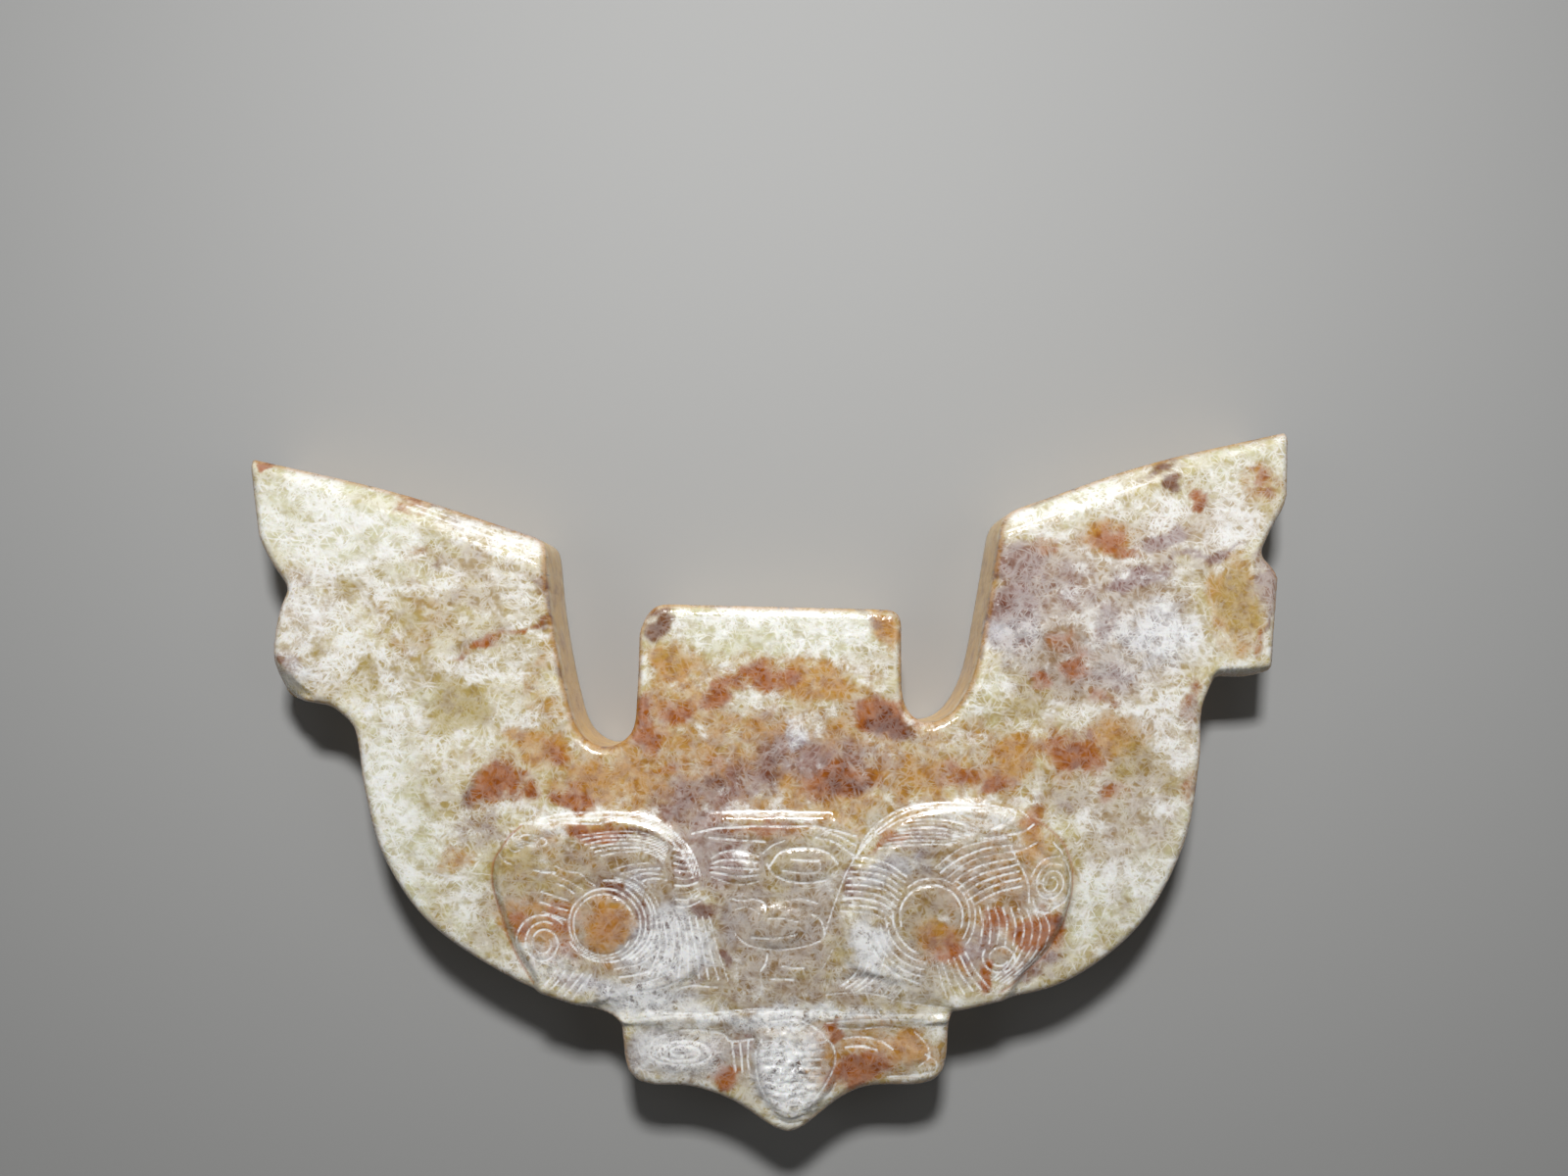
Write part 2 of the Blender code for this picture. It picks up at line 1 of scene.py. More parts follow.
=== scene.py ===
"""Looks of a three-pronged jade ornament, laid out as a Blender add-on and run as a script.

The ornament is one carved piece of mottled jade that lies on its back. Its visible piece is grown
from its solid: the outline is read off the solid's side, filled, cut into small cells and lifted to
the solid's heights. Then the mask's fine lines are cut in, and the stains are laid as attributes,
together with painted highlights, glints, a glow on the sides and a painted shadow by the eye panels.

Sizes are in millimetres unless they say otherwise. A place on the front is given by its distance
across from the middle line (left is negative) and by its height above the beak's tip.
"""

import math

import bmesh
import bpy
import numpy as np
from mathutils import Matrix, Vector, noise
from mathutils.bvhtree import BVHTree
from mathutils.kdtree import KDTree


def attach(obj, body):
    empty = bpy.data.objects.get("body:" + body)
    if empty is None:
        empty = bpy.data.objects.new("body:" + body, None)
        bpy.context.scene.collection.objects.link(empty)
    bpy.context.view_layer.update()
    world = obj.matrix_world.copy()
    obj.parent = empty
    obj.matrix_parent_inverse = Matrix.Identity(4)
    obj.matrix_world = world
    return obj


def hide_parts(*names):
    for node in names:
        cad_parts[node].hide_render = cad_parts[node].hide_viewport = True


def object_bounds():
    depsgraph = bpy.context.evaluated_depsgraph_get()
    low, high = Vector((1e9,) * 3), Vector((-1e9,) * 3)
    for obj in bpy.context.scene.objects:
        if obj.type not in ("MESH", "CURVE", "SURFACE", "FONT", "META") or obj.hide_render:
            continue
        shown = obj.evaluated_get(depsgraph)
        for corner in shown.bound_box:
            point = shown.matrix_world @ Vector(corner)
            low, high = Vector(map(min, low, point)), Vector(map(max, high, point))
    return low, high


bl_info = {
    "name": "Three-pronged jade ornament",
    "version": (1, 0, 0),
    "blender": (4, 5, 0),
    "location": "3D View > Sidebar > Jade",
    "description": "Builds the ornament's carved and stained stone, and the table it lies on",
    "category": "Object",
}

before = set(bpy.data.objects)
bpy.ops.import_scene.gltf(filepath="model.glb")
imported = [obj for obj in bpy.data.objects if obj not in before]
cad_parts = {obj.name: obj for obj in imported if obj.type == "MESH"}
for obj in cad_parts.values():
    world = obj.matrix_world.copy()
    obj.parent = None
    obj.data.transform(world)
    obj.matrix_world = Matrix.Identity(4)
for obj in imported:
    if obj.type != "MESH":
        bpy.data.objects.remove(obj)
SOLID_LOW, SOLID_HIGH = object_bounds()

SOLID_NODE = "jade_ornament"
PIECE_NAME = "carved_jade"
MILLIMETRE = 0.001
BEAK_TIP_UP = SOLID_LOW.y / MILLIMETRE

# The outline: where it is read, when two corners are one, the least bend in degrees that a corner
# needs, how far apart its corners lie and how often they are smoothed
OUTLINE_READ_HEIGHT = 3.0
SAME_PLACE = 0.001
LEAST_BEND = 0.2
OUTLINE_STEP = 0.16
OUTLINE_SMOOTHING = 3

# The cells of the front and the back. A front cell is cut finer near a line or where the solid bulges
CELL = 0.27
FINE_PARTS = 3
BACK_CELL = 1.3
CUT_SNAP = 0.00001
LEAST_BULGE = 0.006
LINE_REACH = 0.2
CLOSEST_CORNERS = 0.03
HEIGHT_SMOOTHING = 5

# The rim: how often its directions and corners are evened, where its height is read, how far it lies
# below that, and how wide the darker band along it is
DIRECTION_SMOOTHING = 4
RIM_SMOOTHING = 3
RIM_INSIDE = 0.14
RIM_DROP = 0.3
EDGE_BAND = 0.55

# The side's rings below the rim: height above the back and how far each is drawn in
SIDE_RINGS = ((4.2, 0.0), (2.4, 0.0), (0.6, 0.0), (0.14, 0.02), (0.0, 0.1))
RING_MARGIN = 0.01

# The mask's worn forms: across, height, half the width, half the height and how often they are smoothed
WORN_FORMS = {
    "volutes and nose": (0.6, 13.6, 4.2, 4.6, 40),
    "left eye": (-9.3, 12.3, 3.0, 3.0, 40),
    "right eye": (9.3, 12.7, 3.0, 3.0, 40),
    "left brow": (-9.4, 17.6, 6.6, 2.2, 14),
    "right brow": (10.0, 18.0, 6.8, 2.4, 14),
    "mouth and band": (0.6, 7.4, 10.0, 1.7, 50),
    "scrolls": (-4.6, 4.8, 3.2, 1.6, 40),
    "beak and right scroll": (4.6, 4.2, 5.6, 3.4, 16),
}
LINE_STEP = 0.15

# Sets the noise that bends the lines and the stains, so that each build is the same
NOISE_SEED = 3

# How far a hand-cut line wanders, how fine its waves are, and how hard the lines are pressed
LINE_WANDER = 0.05
LINE_WAVES = 0.8
LINE_PRESS = 0.9
LINE_PRESS_CHANGE = 0.5

# How far apart two lines read the noise of their wander and of their pressure
WANDER_APART = 3.7
PRESS_APART = 2.7

# How fine the waves of hand polishing are, then the beak's crust: its place, half its width and height,
# how fine its bumps are, and their roughness, how much finer each layer is and how many there are
POLISH_WAVES = 0.45
CRUST_PLACE = (1.4, 3.6)
CRUST_HALF_SIZE = (2.6, 3.6)
CRUST_BUMPS = 2.4
CRUST_LAYERS = (0.9, 2.1, 4)


def linear(red, green, blue):
    """A colour as Blender's linear values, from its 0 to 255 display values."""
    shares = [value / 255 for value in (red, green, blue)]
    return tuple(s / 12.92 if s <= 0.04045 else ((s + 0.055) / 1.055) ** 2.4 for s in shares)


# The stone's own colours
GROUND = linear(170, 150, 94)
GROUND_CLOUD = linear(194, 181, 132)
PIGMENTS = {
    "pale": linear(198, 196, 160),
    "beige": linear(174, 152, 124),
    "umber": linear(126, 90, 54),
    "honey": linear(184, 130, 50),
    "plum": linear(124, 84, 86),
    "olive": linear(164, 142, 72),
    "silver": linear(150, 149, 164),
    "russet": linear(158, 86, 18),
    "oxblood": linear(108, 54, 26),
}
STAIN_STRENGTH = {
    "pale": 0.8, "beige": 0.9, "umber": 0.8, "honey": 0.9, "plum": 0.8, "olive": 0.7, "silver": 0.65,
    "russet": 0.95, "oxblood": 0.9,
}
# The sides' own honey tone, lightened and warmed as a painted glow of light passing through the stone onto
# walls in shade, and their darker mottling
SIDE_STONE_AND_GLOW = linear(232, 190, 104)
SIDE_CLOUD = linear(178, 124, 58)
WHITE_FIBRE = linear(242, 243, 242)
CRUST_GAP = linear(78, 64, 66)

# What the stone's colour is multiplied by where it looks deepest
DEEP_STONE = (0.6, 0.45, 0.3)

# How far each dark stain keeps the white threads away
BARE_STONE = {"umber": 0.7, "honey": 1.0, "plum": 0.6, "olive": 1.0, "russet": 1.0, "oxblood": 1.0}

# How far the stains' outlines are bent and how fine each bend is, and how strongly they are broken up
STAIN_BENDS = ((0.8, 0.55), (0.35, 1.7))
STAIN_BREAKING = 1.5

# Where a stain ends and how wide its soft edge is, as shares of its half size
STAIN_END = 1.5
STAIN_FADE = 1.1

# Each kind of white thread: where its noise is read, its length, its spacing, and its width as a share
THREADS = {
    "long": ((0, 0, 0), 3.2, 0.8, 0.12),
    "short": ((40, 9, 3), 1.5, 0.42, 0.14),
    "nap": ((17, 23, 1), 0.9, 0.28, 0.21),
}

# The directions in which threads cross, in degrees
THREAD_TURNS = (8, 64, 127)

# How polished nephrite bends, spreads and reflects light
STONE_IOR = 1.61
STONE_SPREAD = (1.0, 0.72, 0.42)
POLISH_WEIGHT = 0.2
POLISH_ROUGHNESS = 0.1

# Each finish: how rough it is, the height of its fine texture and of its sawing arcs in millimetres
FINISHES = {
    "polished_jade": (0.18, 0.06, 0.0),
    "ground_jade": (0.32, 0.04, 0.0),
    "sawn_jade": (0.42, 0.04, 0.35),
}
SAWING_CENTRE = (-46.0, 30.0, 0.0)

# How far up a face looks at most when it is on the back, and how far up or down when it is on a side
BACK_FACING = -0.5
SIDE_FACING = 0.1

# How many degrees two faces turn from each other where their edge is shown sharp
SHARP_ANGLE = 50

# Each light: its place, what it faces, its two sides and the setting that gives its power
LIGHTS = {
    "key_light": ((0, 70, 106), (0, 0, 4), (18, 14), "key_power"),
    "left_fill": ((-150, 10, 170), (0, 0, 0), (110, 110), "fill_power"),
    "right_fill": ((150, 10, 170), (0, 0, 0), (110, 110), "fill_power"),
    "edge_light": ((0, 210, 60), (0, 15, 6), (190, 10), "edge_power"),
}

# The camera's sensor in millimetres, and how near and far it sees in metres
SENSOR_WIDTH = 36.0
SEEN_FROM = 0.005
SEEN_TO = 10.0

# Where each colour lies: across, height, half its width, half its height, turn in degrees, strength
STAINS = {
    "beige": (
        (18.6, 29.5, 6.0, 6.0, 0, 0.95),
        (24.0, 34.6, 5.0, 2.4, 15, 0.8),
        (21.2, 20.0, 3.4, 6.6, -12, 0.7),
        (-16.4, 32.0, 4.0, 2.6, 0, 0.4),
        (-26.6, 30.0, 2.0, 4.0, 0, 0.5),
    ),
    "umber": (
        (-9.6, 13.2, 6.4, 5.0, 0, 0.8),
        (0.6, 13.0, 4.2, 5.6, 0, 0.9),
        (11.0, 13.4, 6.2, 5.2, 0, 0.8),
        (2.0, 8.4, 8.0, 1.6, 0, 0.7),
        (1.0, 4.8, 9.0, 2.4, 0, 0.7),
        (17.2, 27.0, 4.0, 2.4, 0, 0.75),
        (16.4, 31.0, 2.6, 2.4, 0, 0.45),
        (21.0, 18.0, 2.6, 6.0, -15, 0.35),
        (2.0, 21.6, 12.0, 2.4, 0, 0.5),
        (21.6, 31.4, 4.0, 1.6, 10, 0.5),
        (-16.2, 28.4, 2.4, 0.8, 22, 0.45),
        (-17.0, 33.4, 4.0, 1.4, -14, 0.25),
    ),
    "crust": (
        (1.2, 3.6, 1.9, 2.8, 0, 1.0),
        (-4.8, 4.8, 2.6, 1.5, 0, 0.75),
        (-7.6, 8.0, 3.0, 1.1, -10, 0.9),
        (-5.4, 10.6, 2.2, 2.2, 30, 0.75),
        (0.6, 6.9, 8.0, 0.5, 0, 0.8),
        (5.8, 10.8, 1.2, 1.6, 0, 0.6),
        (-12.4, 9.8, 1.6, 1.2, -30, 0.6),
        (6.0, 8.6, 3.0, 0.7, 0, 0.4),
        (14.4, 28.6, 1.4, 1.8, 0, 0.5),
        (1.0, 12.4, 3.0, 4.2, 0, 0.2),
        (7.0, 9.4, 3.0, 1.4, 0, 0.35),
        (20.4, 28.0, 2.6, 2.6, 0, 0.3),
    ),
    "pale": (
        (-25.5, 35.5, 7.0, 3.4, -12, 0.9),
        (-21.6, 18.0, 2.6, 7.0, 8, 0.8),
        (-19.5, 24.8, 1.4, 1.0, 30, 0.6),
        (1.0, 29.2, 6.6, 1.9, -3, 1.0),
        (26.5, 38.2, 4.6, 2.0, 18, 0.6),
        (17.6, 36.5, 3.4, 1.0, 18, 0.9),
        (21.8, 16.5, 2.2, 5.5, -20, 0.8),
        (12.0, 25.0, 2.6, 1.6, 20, 0.5),
        (-17.0, 13.2, 2.2, 2.6, 20, 0.5),
        (18.4, 13.0, 1.6, 2.8, -20, 0.7),
    ),
    "honey": (
        (0.0, 21.0, 17.0, 3.8, 0, 0.62),
        (-12.5, 14.0, 3.4, 5.0, 0, 0.35),
        (13.6, 14.0, 3.8, 5.4, 0, 0.4),
        (-12.4, 12.2, 2.0, 1.6, 0, 0.7),
        (5.5, 4.6, 4.4, 2.2, 0, 0.6),
        (-5.0, 25.0, 3.0, 3.0, 0, 0.6),
        (-20.0, 29.5, 4.5, 3.2, 10, 0.25),
        (-9.4, 12.3, 1.9, 1.9, 0, 0.9),
        (9.8, 11.6, 1.6, 1.2, 0, 0.8),
        (-9.9, 17.5, 2.2, 0.7, 0, 0.9),
        (-5.6, 27.2, 1.7, 1.2, 0, 1.0),
        (-12.7, 22.2, 2.6, 0.9, -12, 0.9),
        (-8.0, 20.3, 5.0, 1.7, 0, 0.8),
        (2.0, 26.2, 4.0, 1.6, -10, 0.8),
        (6.9, 29.0, 0.9, 1.3, 0, 0.9),
        (14.0, 21.6, 3.2, 1.4, 24, 0.8),
        (19.8, 22.7, 1.8, 1.3, 0, 0.8),
        (19.2, 34.1, 1.9, 1.0, 0, 0.7),
        (28.0, 37.4, 1.5, 1.2, 0, 0.5),
        (26.8, 30.6, 1.5, 2.8, 0, 0.9),
        (-14.6, 12.4, 1.2, 1.6, 0, 0.7),
        (15.2, 16.8, 1.4, 1.6, 0, 0.8),
        (10.6, 10.8, 1.3, 1.1, 0, 0.9),
        (14.6, 11.8, 2.0, 1.3, 0, 0.8),
        (8.2, 5.0, 1.4, 1.2, 0, 0.8),
        (4.2, 18.3, 1.6, 0.6, 0, 0.6),
        (-12.9, 24.6, 0.9, 4.0, 6, 0.5),
        (-18.0, 16.0, 1.2, 1.0, 0, 0.6),
    ),
    "olive": (
        (-17.8, 24.8, 1.9, 1.6, 30, 0.9),
        (-24.2, 31.0, 0.9, 0.9, 0, 0.7),
        (-21.2, 29.3, 1.3, 0.8, 20, 0.6),
        (-25.6, 28.2, 0.6, 0.9, 0, 0.7),
        (-23.3, 26.6, 0.9, 0.9, 0, 0.7),
        (-5.6, 27.4, 1.3, 0.8, 0, 0.6),
        (0.3, 14.8, 1.2, 1.9, 0, 0.9),
        (1.0, 16.2, 1.6, 0.8, 0, 0.7),
        (21.4, 21.6, 1.6, 1.6, 0, 0.8),
        (27.0, 30.6, 1.3, 2.2, 0, 0.9),
        (-14.6, 15.4, 1.9, 1.7, 0, 0.9),
        (-11.6, 14.6, 1.6, 1.4, 0, 0.6),
        (4.4, 10.2, 1.1, 0.8, 0, 0.7),
        (16.4, 15.0, 1.1, 2.0, 0, 0.8),
        (8.8, 13.0, 1.6, 1.4, 0, 0.5),
        (23.4, 20.3, 1.3, 1.2, 0, 0.7),
        (15.2, 24.9, 1.5, 1.1, 0, 0.6),
        (2.4, 9.4, 1.4, 0.7, 0, 0.6),
        (7.2, 7.6, 1.4, 0.5, 0, 0.5),
    ),
    "russet": (
        (-16.1, 28.4, 1.1, 0.4, 22, 0.9),
        (-17.8, 27.5, 1.0, 0.2, 20, 0.6),
        (-13.8, 29.3, 1.6, 0.2, 20, 0.7),
        (-29.2, 38.7, 0.4, 0.5, 0, 0.9),
        (-20.3, 33.2, 1.2, 0.5, 0, 0.4),
        (-20.9, 36.1, 0.9, 0.5, -15, 0.6),
        (-15.6, 20.3, 1.7, 1.1, 25, 1.0),
        (-13.9, 19.6, 0.9, 0.8, 0, 0.8),
        (-11.3, 19.3, 1.7, 0.7, -10, 0.9),
        (-11.9, 21.7, 1.3, 0.6, -20, 0.7),
        (-9.9, 17.4, 1.6, 0.55, 0, 1.0),
        (-7.2, 23.4, 0.9, 1.7, 8, 0.9),
        (-5.1, 24.2, 1.3, 0.8, 28, 0.9),
        (-2.8, 25.4, 1.6, 0.7, 24, 0.9),
        (-0.4, 26.3, 1.9, 0.9, 0, 0.9),
        (-4.6, 21.0, 2.4, 0.6, 6, 0.5),
        (6.6, 23.9, 1.9, 1.1, -14, 1.0),
        (4.2, 20.2, 2.4, 1.0, 0, 0.8),
        (10.9, 20.7, 1.3, 0.9, 0, 0.8),
        (13.2, 20.1, 1.2, 0.7, 10, 0.8),
        (17.6, 21.8, 1.8, 1.6, 0, 1.0),
        (20.1, 19.8, 1.0, 0.8, 0, 0.7),
        (19.6, 34.0, 1.2, 0.6, 0, 0.9),
        (21.0, 33.4, 0.9, 0.4, 0, 0.7),
        (24.7, 36.7, 0.5, 0.6, 0, 0.9),
        (17.6, 26.6, 0.9, 0.7, 0, 0.7),
        (19.4, 24.9, 1.1, 0.6, 0, 0.6),
        (15.4, 26.0, 0.9, 0.5, 0, 0.6),
        (28.6, 37.4, 0.4, 0.7, 30, 0.7),
        (27.9, 38.1, 0.5, 0.3, 0, 0.6),
        (16.0, 33.7, 1.1, 0.9, 0, 0.5),
        (17.3, 28.2, 1.5, 0.7, -10, 0.5),
        (-9.3, 12.3, 1.3, 1.3, 0, 0.45),
        (-12.0, 12.6, 0.7, 1.0, 0, 0.7),
        (-11.6, 10.6, 0.8, 0.8, 0, 0.6),
        (-14.4, 11.9, 0.8, 0.8, 0, 0.7),
        (10.1, 10.9, 1.1, 0.9, 0, 1.0),
        (12.9, 12.1, 0.7, 0.8, 0, 1.0),
        (15.2, 11.7, 1.6, 1.2, 0, 1.0),
        (12.4, 9.3, 0.5, 0.8, 0, 0.9),
        (15.1, 18.0, 1.0, 1.0, 0, 0.6),
        (6.8, 17.0, 1.6, 0.5, 28, 0.7),
        (5.4, 3.9, 2.0, 0.9, 22, 1.0),
        (-2.6, 3.3, 1.3, 0.9, 0, 0.9),
        (28.4, 28.6, 0.5, 1.6, 0, 0.6),
        (24.4, 25.2, 0.5, 1.3, 0, 0.6),
        (24.2, 19.6, 0.5, 1.3, 0, 0.6),
        (-0.2, 17.6, 2.4, 0.45, 0, 0.7),
        (3.8, 6.0, 0.7, 0.5, 0, 0.7),
    ),
    "oxblood": (
        (-12.9, 31.6, 0.5, 0.6, 0, 0.7),
        (-12.9, 29.5, 0.5, 0.5, 0, 0.7),
        (-6.3, 29.3, 0.9, 0.8, 30, 1.0),
        (-6.5, 30.1, 1.0, 0.3, 10, 0.8),
        (-13.8, 25.8, 1.2, 0.15, 0, 0.6),
        (-17.2, 19.4, 0.7, 0.7, 0, 0.8),
        (-3.3, 20.3, 1.0, 0.5, 0, 0.8),
        (-4.2, 18.7, 1.0, 0.9, 0, 0.5),
        (0.2, 20.7, 0.9, 1.4, 0, 0.7),
        (7.1, 23.4, 1.3, 0.7, -20, 1.0),
        (4.6, 20.0, 1.9, 0.7, 0, 0.7),
        (13.7, 30.6, 0.8, 1.3, 0, 0.7),
        (14.4, 28.3, 0.9, 0.9, 0, 0.8),
        (13.0, 32.6, 0.5, 1.4, 0, 0.6),
        (23.3, 37.4, 0.8, 0.6, 25, 1.0),
        (22.6, 38.3, 1.6, 0.35, 16, 0.8),
        (21.6, 32.2, 1.4, 0.22, 20, 0.7),
        (28.7, 29.6, 0.3, 0.9, 0, 0.7),
        (-8.4, 14.3, 1.3, 0.5, -20, 0.8),
        (-7.0, 13.0, 0.6, 1.1, 10, 0.8),
        (-3.7, 13.2, 0.8, 0.6, 0, 1.0),
        (-4.8, 14.8, 0.7, 0.9, 0, 0.6),
        (-2.5, 10.2, 0.4, 0.8, 0, 0.8),
        (-7.7, 17.3, 1.5, 0.4, -8, 0.7),
        (16.0, 12.2, 0.8, 0.5, 0, 0.6),
        (4.4, 13.6, 0.5, 1.2, 10, 0.5),
        (18.1, 20.9, 0.7, 0.8, 0, 0.6),
        (6.4, 29.6, 0.9, 0.35, -20, 0.6),
        (-1.8, 17.6, 0.7, 0.4, 0, 0.6),
        (22.8, 38.7, 2.0, 0.3, 18, 0.6),
    ),
    "plum": (
        (-17.3, 32.9, 2.6, 0.8, 0, 0.45),
        (-17.2, 30.9, 1.9, 0.8, 0, 0.4),
        (-16.6, 35.4, 3.2, 0.8, -14, 0.5),
        (-27.8, 27.2, 0.7, 1.0, 0, 0.7),
        (-27.4, 32.0, 0.7, 0.7, 0, 0.5),
        (-4.0, 18.9, 3.4, 1.6, 0, 0.8),
        (-3.6, 16.4, 2.3, 2.4, 0, 0.9),
        (-16.6, 18.0, 1.5, 1.5, 0, 0.5),
        (2.2, 21.6, 4.6, 1.5, 0, 0.8),
        (-1.4, 20.4, 2.0, 1.2, 0, 0.8),
        (-0.2, 24.0, 3.0, 0.7, 0, 0.35),
        (14.4, 32.6, 1.6, 1.6, 0, 0.9),
        (14.0, 29.8, 1.7, 2.6, 0, 1.0),
        (16.8, 31.2, 2.6, 1.9, 0, 0.6),
        (23.0, 34.2, 1.4, 0.7, 10, 1.0),
        (21.4, 32.2, 2.2, 0.5, 20, 1.0),
        (25.6, 33.3, 2.4, 0.35, 12, 0.9),
        (19.6, 29.4, 0.8, 1.3, 0, 0.8),
        (28.7, 31.6, 0.9, 1.8, 0, 1.0),
        (19.4, 26.4, 1.6, 1.0, 0, 0.6),
        (24.6, 24.2, 0.6, 1.3, 0, 0.6),
        (9.0, 17.4, 2.4, 0.7, 12, 0.6),
        (17.0, 19.4, 2.0, 1.2, 0, 0.5),
        (4.9, 14.3, 0.8, 1.4, 0, 0.6),
        (14.9, 9.6, 1.8, 0.8, 15, 0.9),
        (11.8, 10.9, 1.4, 0.9, 0, 0.8),
        (-10.2, 8.6, 2.4, 0.6, -10, 0.8),
        (-4.3, 9.3, 1.6, 0.8, 0, 0.6),
        (-1.4, 5.6, 1.4, 0.9, 0, 0.6),
        (2.2, 5.6, 1.0, 0.9, 0, 0.5),
        (-3.2, 4.6, 1.4, 0.9, 0, 0.5),
    ),
    "silver": (
        # A painted glint: the bluish tint of a reflection on the right wing
        (22.6, 28.7, 2.4, 1.9, 0, 1.0),
        (-5.6, 11.0, 2.6, 2.4, 30, 1.0),
        (-7.4, 8.2, 3.6, 1.0, -10, 0.9),
        (-6.4, 5.0, 2.2, 1.9, 0, 0.9),
        (0.6, 3.4, 1.4, 2.2, 0, 1.0),
        (-0.4, 6.9, 3.2, 0.6, 0, 0.8),
        (5.8, 11.0, 1.4, 1.6, 0, 0.9),
        (6.9, 15.3, 2.2, 0.9, 20, 0.8),
        (6.6, 9.4, 2.4, 1.0, 0, 0.6),
        (-26.8, 30.0, 1.0, 3.0, 0, 0.3),
        (-27.0, 26.4, 1.0, 1.0, 0, 0.6),
        (13.4, 29.0, 0.8, 1.1, 0, 0.7),
        (-7.1, 14.8, 0.9, 0.8, 0, 0.7),
        (1.8, 22.9, 0.8, 0.6, 0, 0.9),
        (-2.2, 12.0, 1.0, 1.4, 0, 0.5),
    ),
    "fog": (
        (-26.3, 36.2, 3.6, 2.0, -14, 0.3),
        (-24.6, 34.0, 2.2, 2.8, 20, 0.5),
        (-25.2, 30.4, 1.6, 4.6, 8, 0.7),
        (-17.5, 34.6, 4.6, 0.8, -14, 0.2),
        (-22.2, 22.4, 1.8, 2.2, 0, 0.7),
        (-22.0, 17.6, 1.6, 4.6, 12, 0.7),
        (-13.4, 10.6, 1.3, 1.5, 0, 0.8),
        (-1.0, 29.7, 4.4, 0.8, 0, 0.8),
        (2.4, 28.2, 3.0, 1.2, 0, 0.5),
        # A painted glint: the white of a reflection on the right wing
        (22.5, 28.8, 2.2, 1.5, 0, 1.0),
        (23.3, 23.2, 1.4, 2.4, 0, 0.8),
        (27.0, 34.2, 2.4, 0.9, 10, 0.7),
        (17.9, 36.6, 3.8, 0.7, 17, 0.8),
        # A painted glint: the white of a reflection near the right edge
        (22.6, 14.6, 1.2, 2.2, -30, 0.9),
        (19.2, 15.0, 1.2, 0.9, 0, 0.6),
        (16.0, 14.6, 1.0, 1.2, 0, 0.7),
        (11.2, 15.6, 2.2, 0.8, 0, 0.7),
        (5.8, 10.9, 1.0, 1.3, 0, 0.9),
        (-5.8, 11.4, 1.8, 1.6, 30, 0.3),
        (-7.0, 7.2, 1.8, 0.8, 0, 0.6),
        (-5.2, 4.8, 2.4, 1.5, 0, 0.4),
        (0.8, 3.0, 1.3, 2.4, 0, 0.4),
        (-0.8, 6.8, 3.6, 0.5, 0, 0.7),
        (9.6, 18.9, 3.6, 0.5, 0, 0.8),
        (-10.0, 18.4, 3.0, 0.35, 0, 0.8),
        (0.3, 18.6, 3.2, 0.35, 0, 1.0),
        (8.4, 23.9, 0.7, 0.5, -20, 0.9),
        (1.8, 23.0, 0.7, 0.6, 0, 0.8),
    ),
}


def place(across, height):
    """A place on the front in the frame's own millimetres."""
    return np.array([across, height + BEAK_TIP_UP])


def smooth_line(*places, step=LINE_STEP):
    """A smooth line through places given across and above the beak's tip."""
    knots = np.array([place(*item) for item in places])
    ends = np.vstack([2 * knots[0] - knots[1], knots, 2 * knots[-1] - knots[-2]])
    points = []
    for before, start, end, after in zip(ends, ends[1:], ends[2:], ends[3:]):
        count = max(2, math.ceil(np.linalg.norm(end - start) / step))
        t = np.arange(count)[:, None] / count
        bend = (2 * before - 5 * start + 4 * end - after) * t**2
        turn = (3 * start - before - 3 * end + after) * t**3
        points.append((2 * start + (end - before) * t + bend + turn) / 2)
    return np.vstack(points + [knots[-1:]])


def turned(flat, tilt):
    """Flat points turned about the origin by a tilt in degrees."""
    turn = math.radians(tilt)
    return flat @ np.array([[math.cos(turn), math.sin(turn)], [-math.sin(turn), math.cos(turn)]])


def arc(centre, half_across, half_high, start, end):
    """Part of an upright ellipse from one angle to another, in degrees."""
    size = max(half_across, half_high)
    count = max(4, math.ceil(abs(math.radians(end - start)) * size / LINE_STEP))
    angles = np.radians(np.linspace(start, end, count + 1))
    return np.column_stack([half_across * np.cos(angles), half_high * np.sin(angles)]) + place(*centre)


def spiral(centre, half_across, half_high, turns, tilt=0.0, start=0.0, inner=0.2):
    """An oval spiral that winds in to a share of its size."""
    count = math.ceil(turns * 2 * math.pi * max(half_across, half_high) / LINE_STEP)
    share = np.linspace(0, 1, count + 1)
    angles = math.radians(start) + share * turns * 2 * math.pi
    size = (1 - share * (1 - inner))[:, None]
    flat = np.column_stack([half_across * np.cos(angles), half_high * np.sin(angles)]) * size
    return turned(flat, tilt) + place(*centre)


def comb(first, last, count):
    """Lines spaced evenly from one guide line to another."""
    samples = 24

    def even(guide):
        run = np.linalg.norm(np.diff(guide, axis=0), axis=1)
        along = np.concatenate([[0], np.cumsum(run)])
        wanted = np.linspace(0, along[-1], samples)
        return np.column_stack([np.interp(wanted, along, guide[:, axis]) for axis in (0, 1)])

    start, end = even(first), even(last)
    return [start * (1 - share) + end * share for share in np.linspace(0, 1, count)]


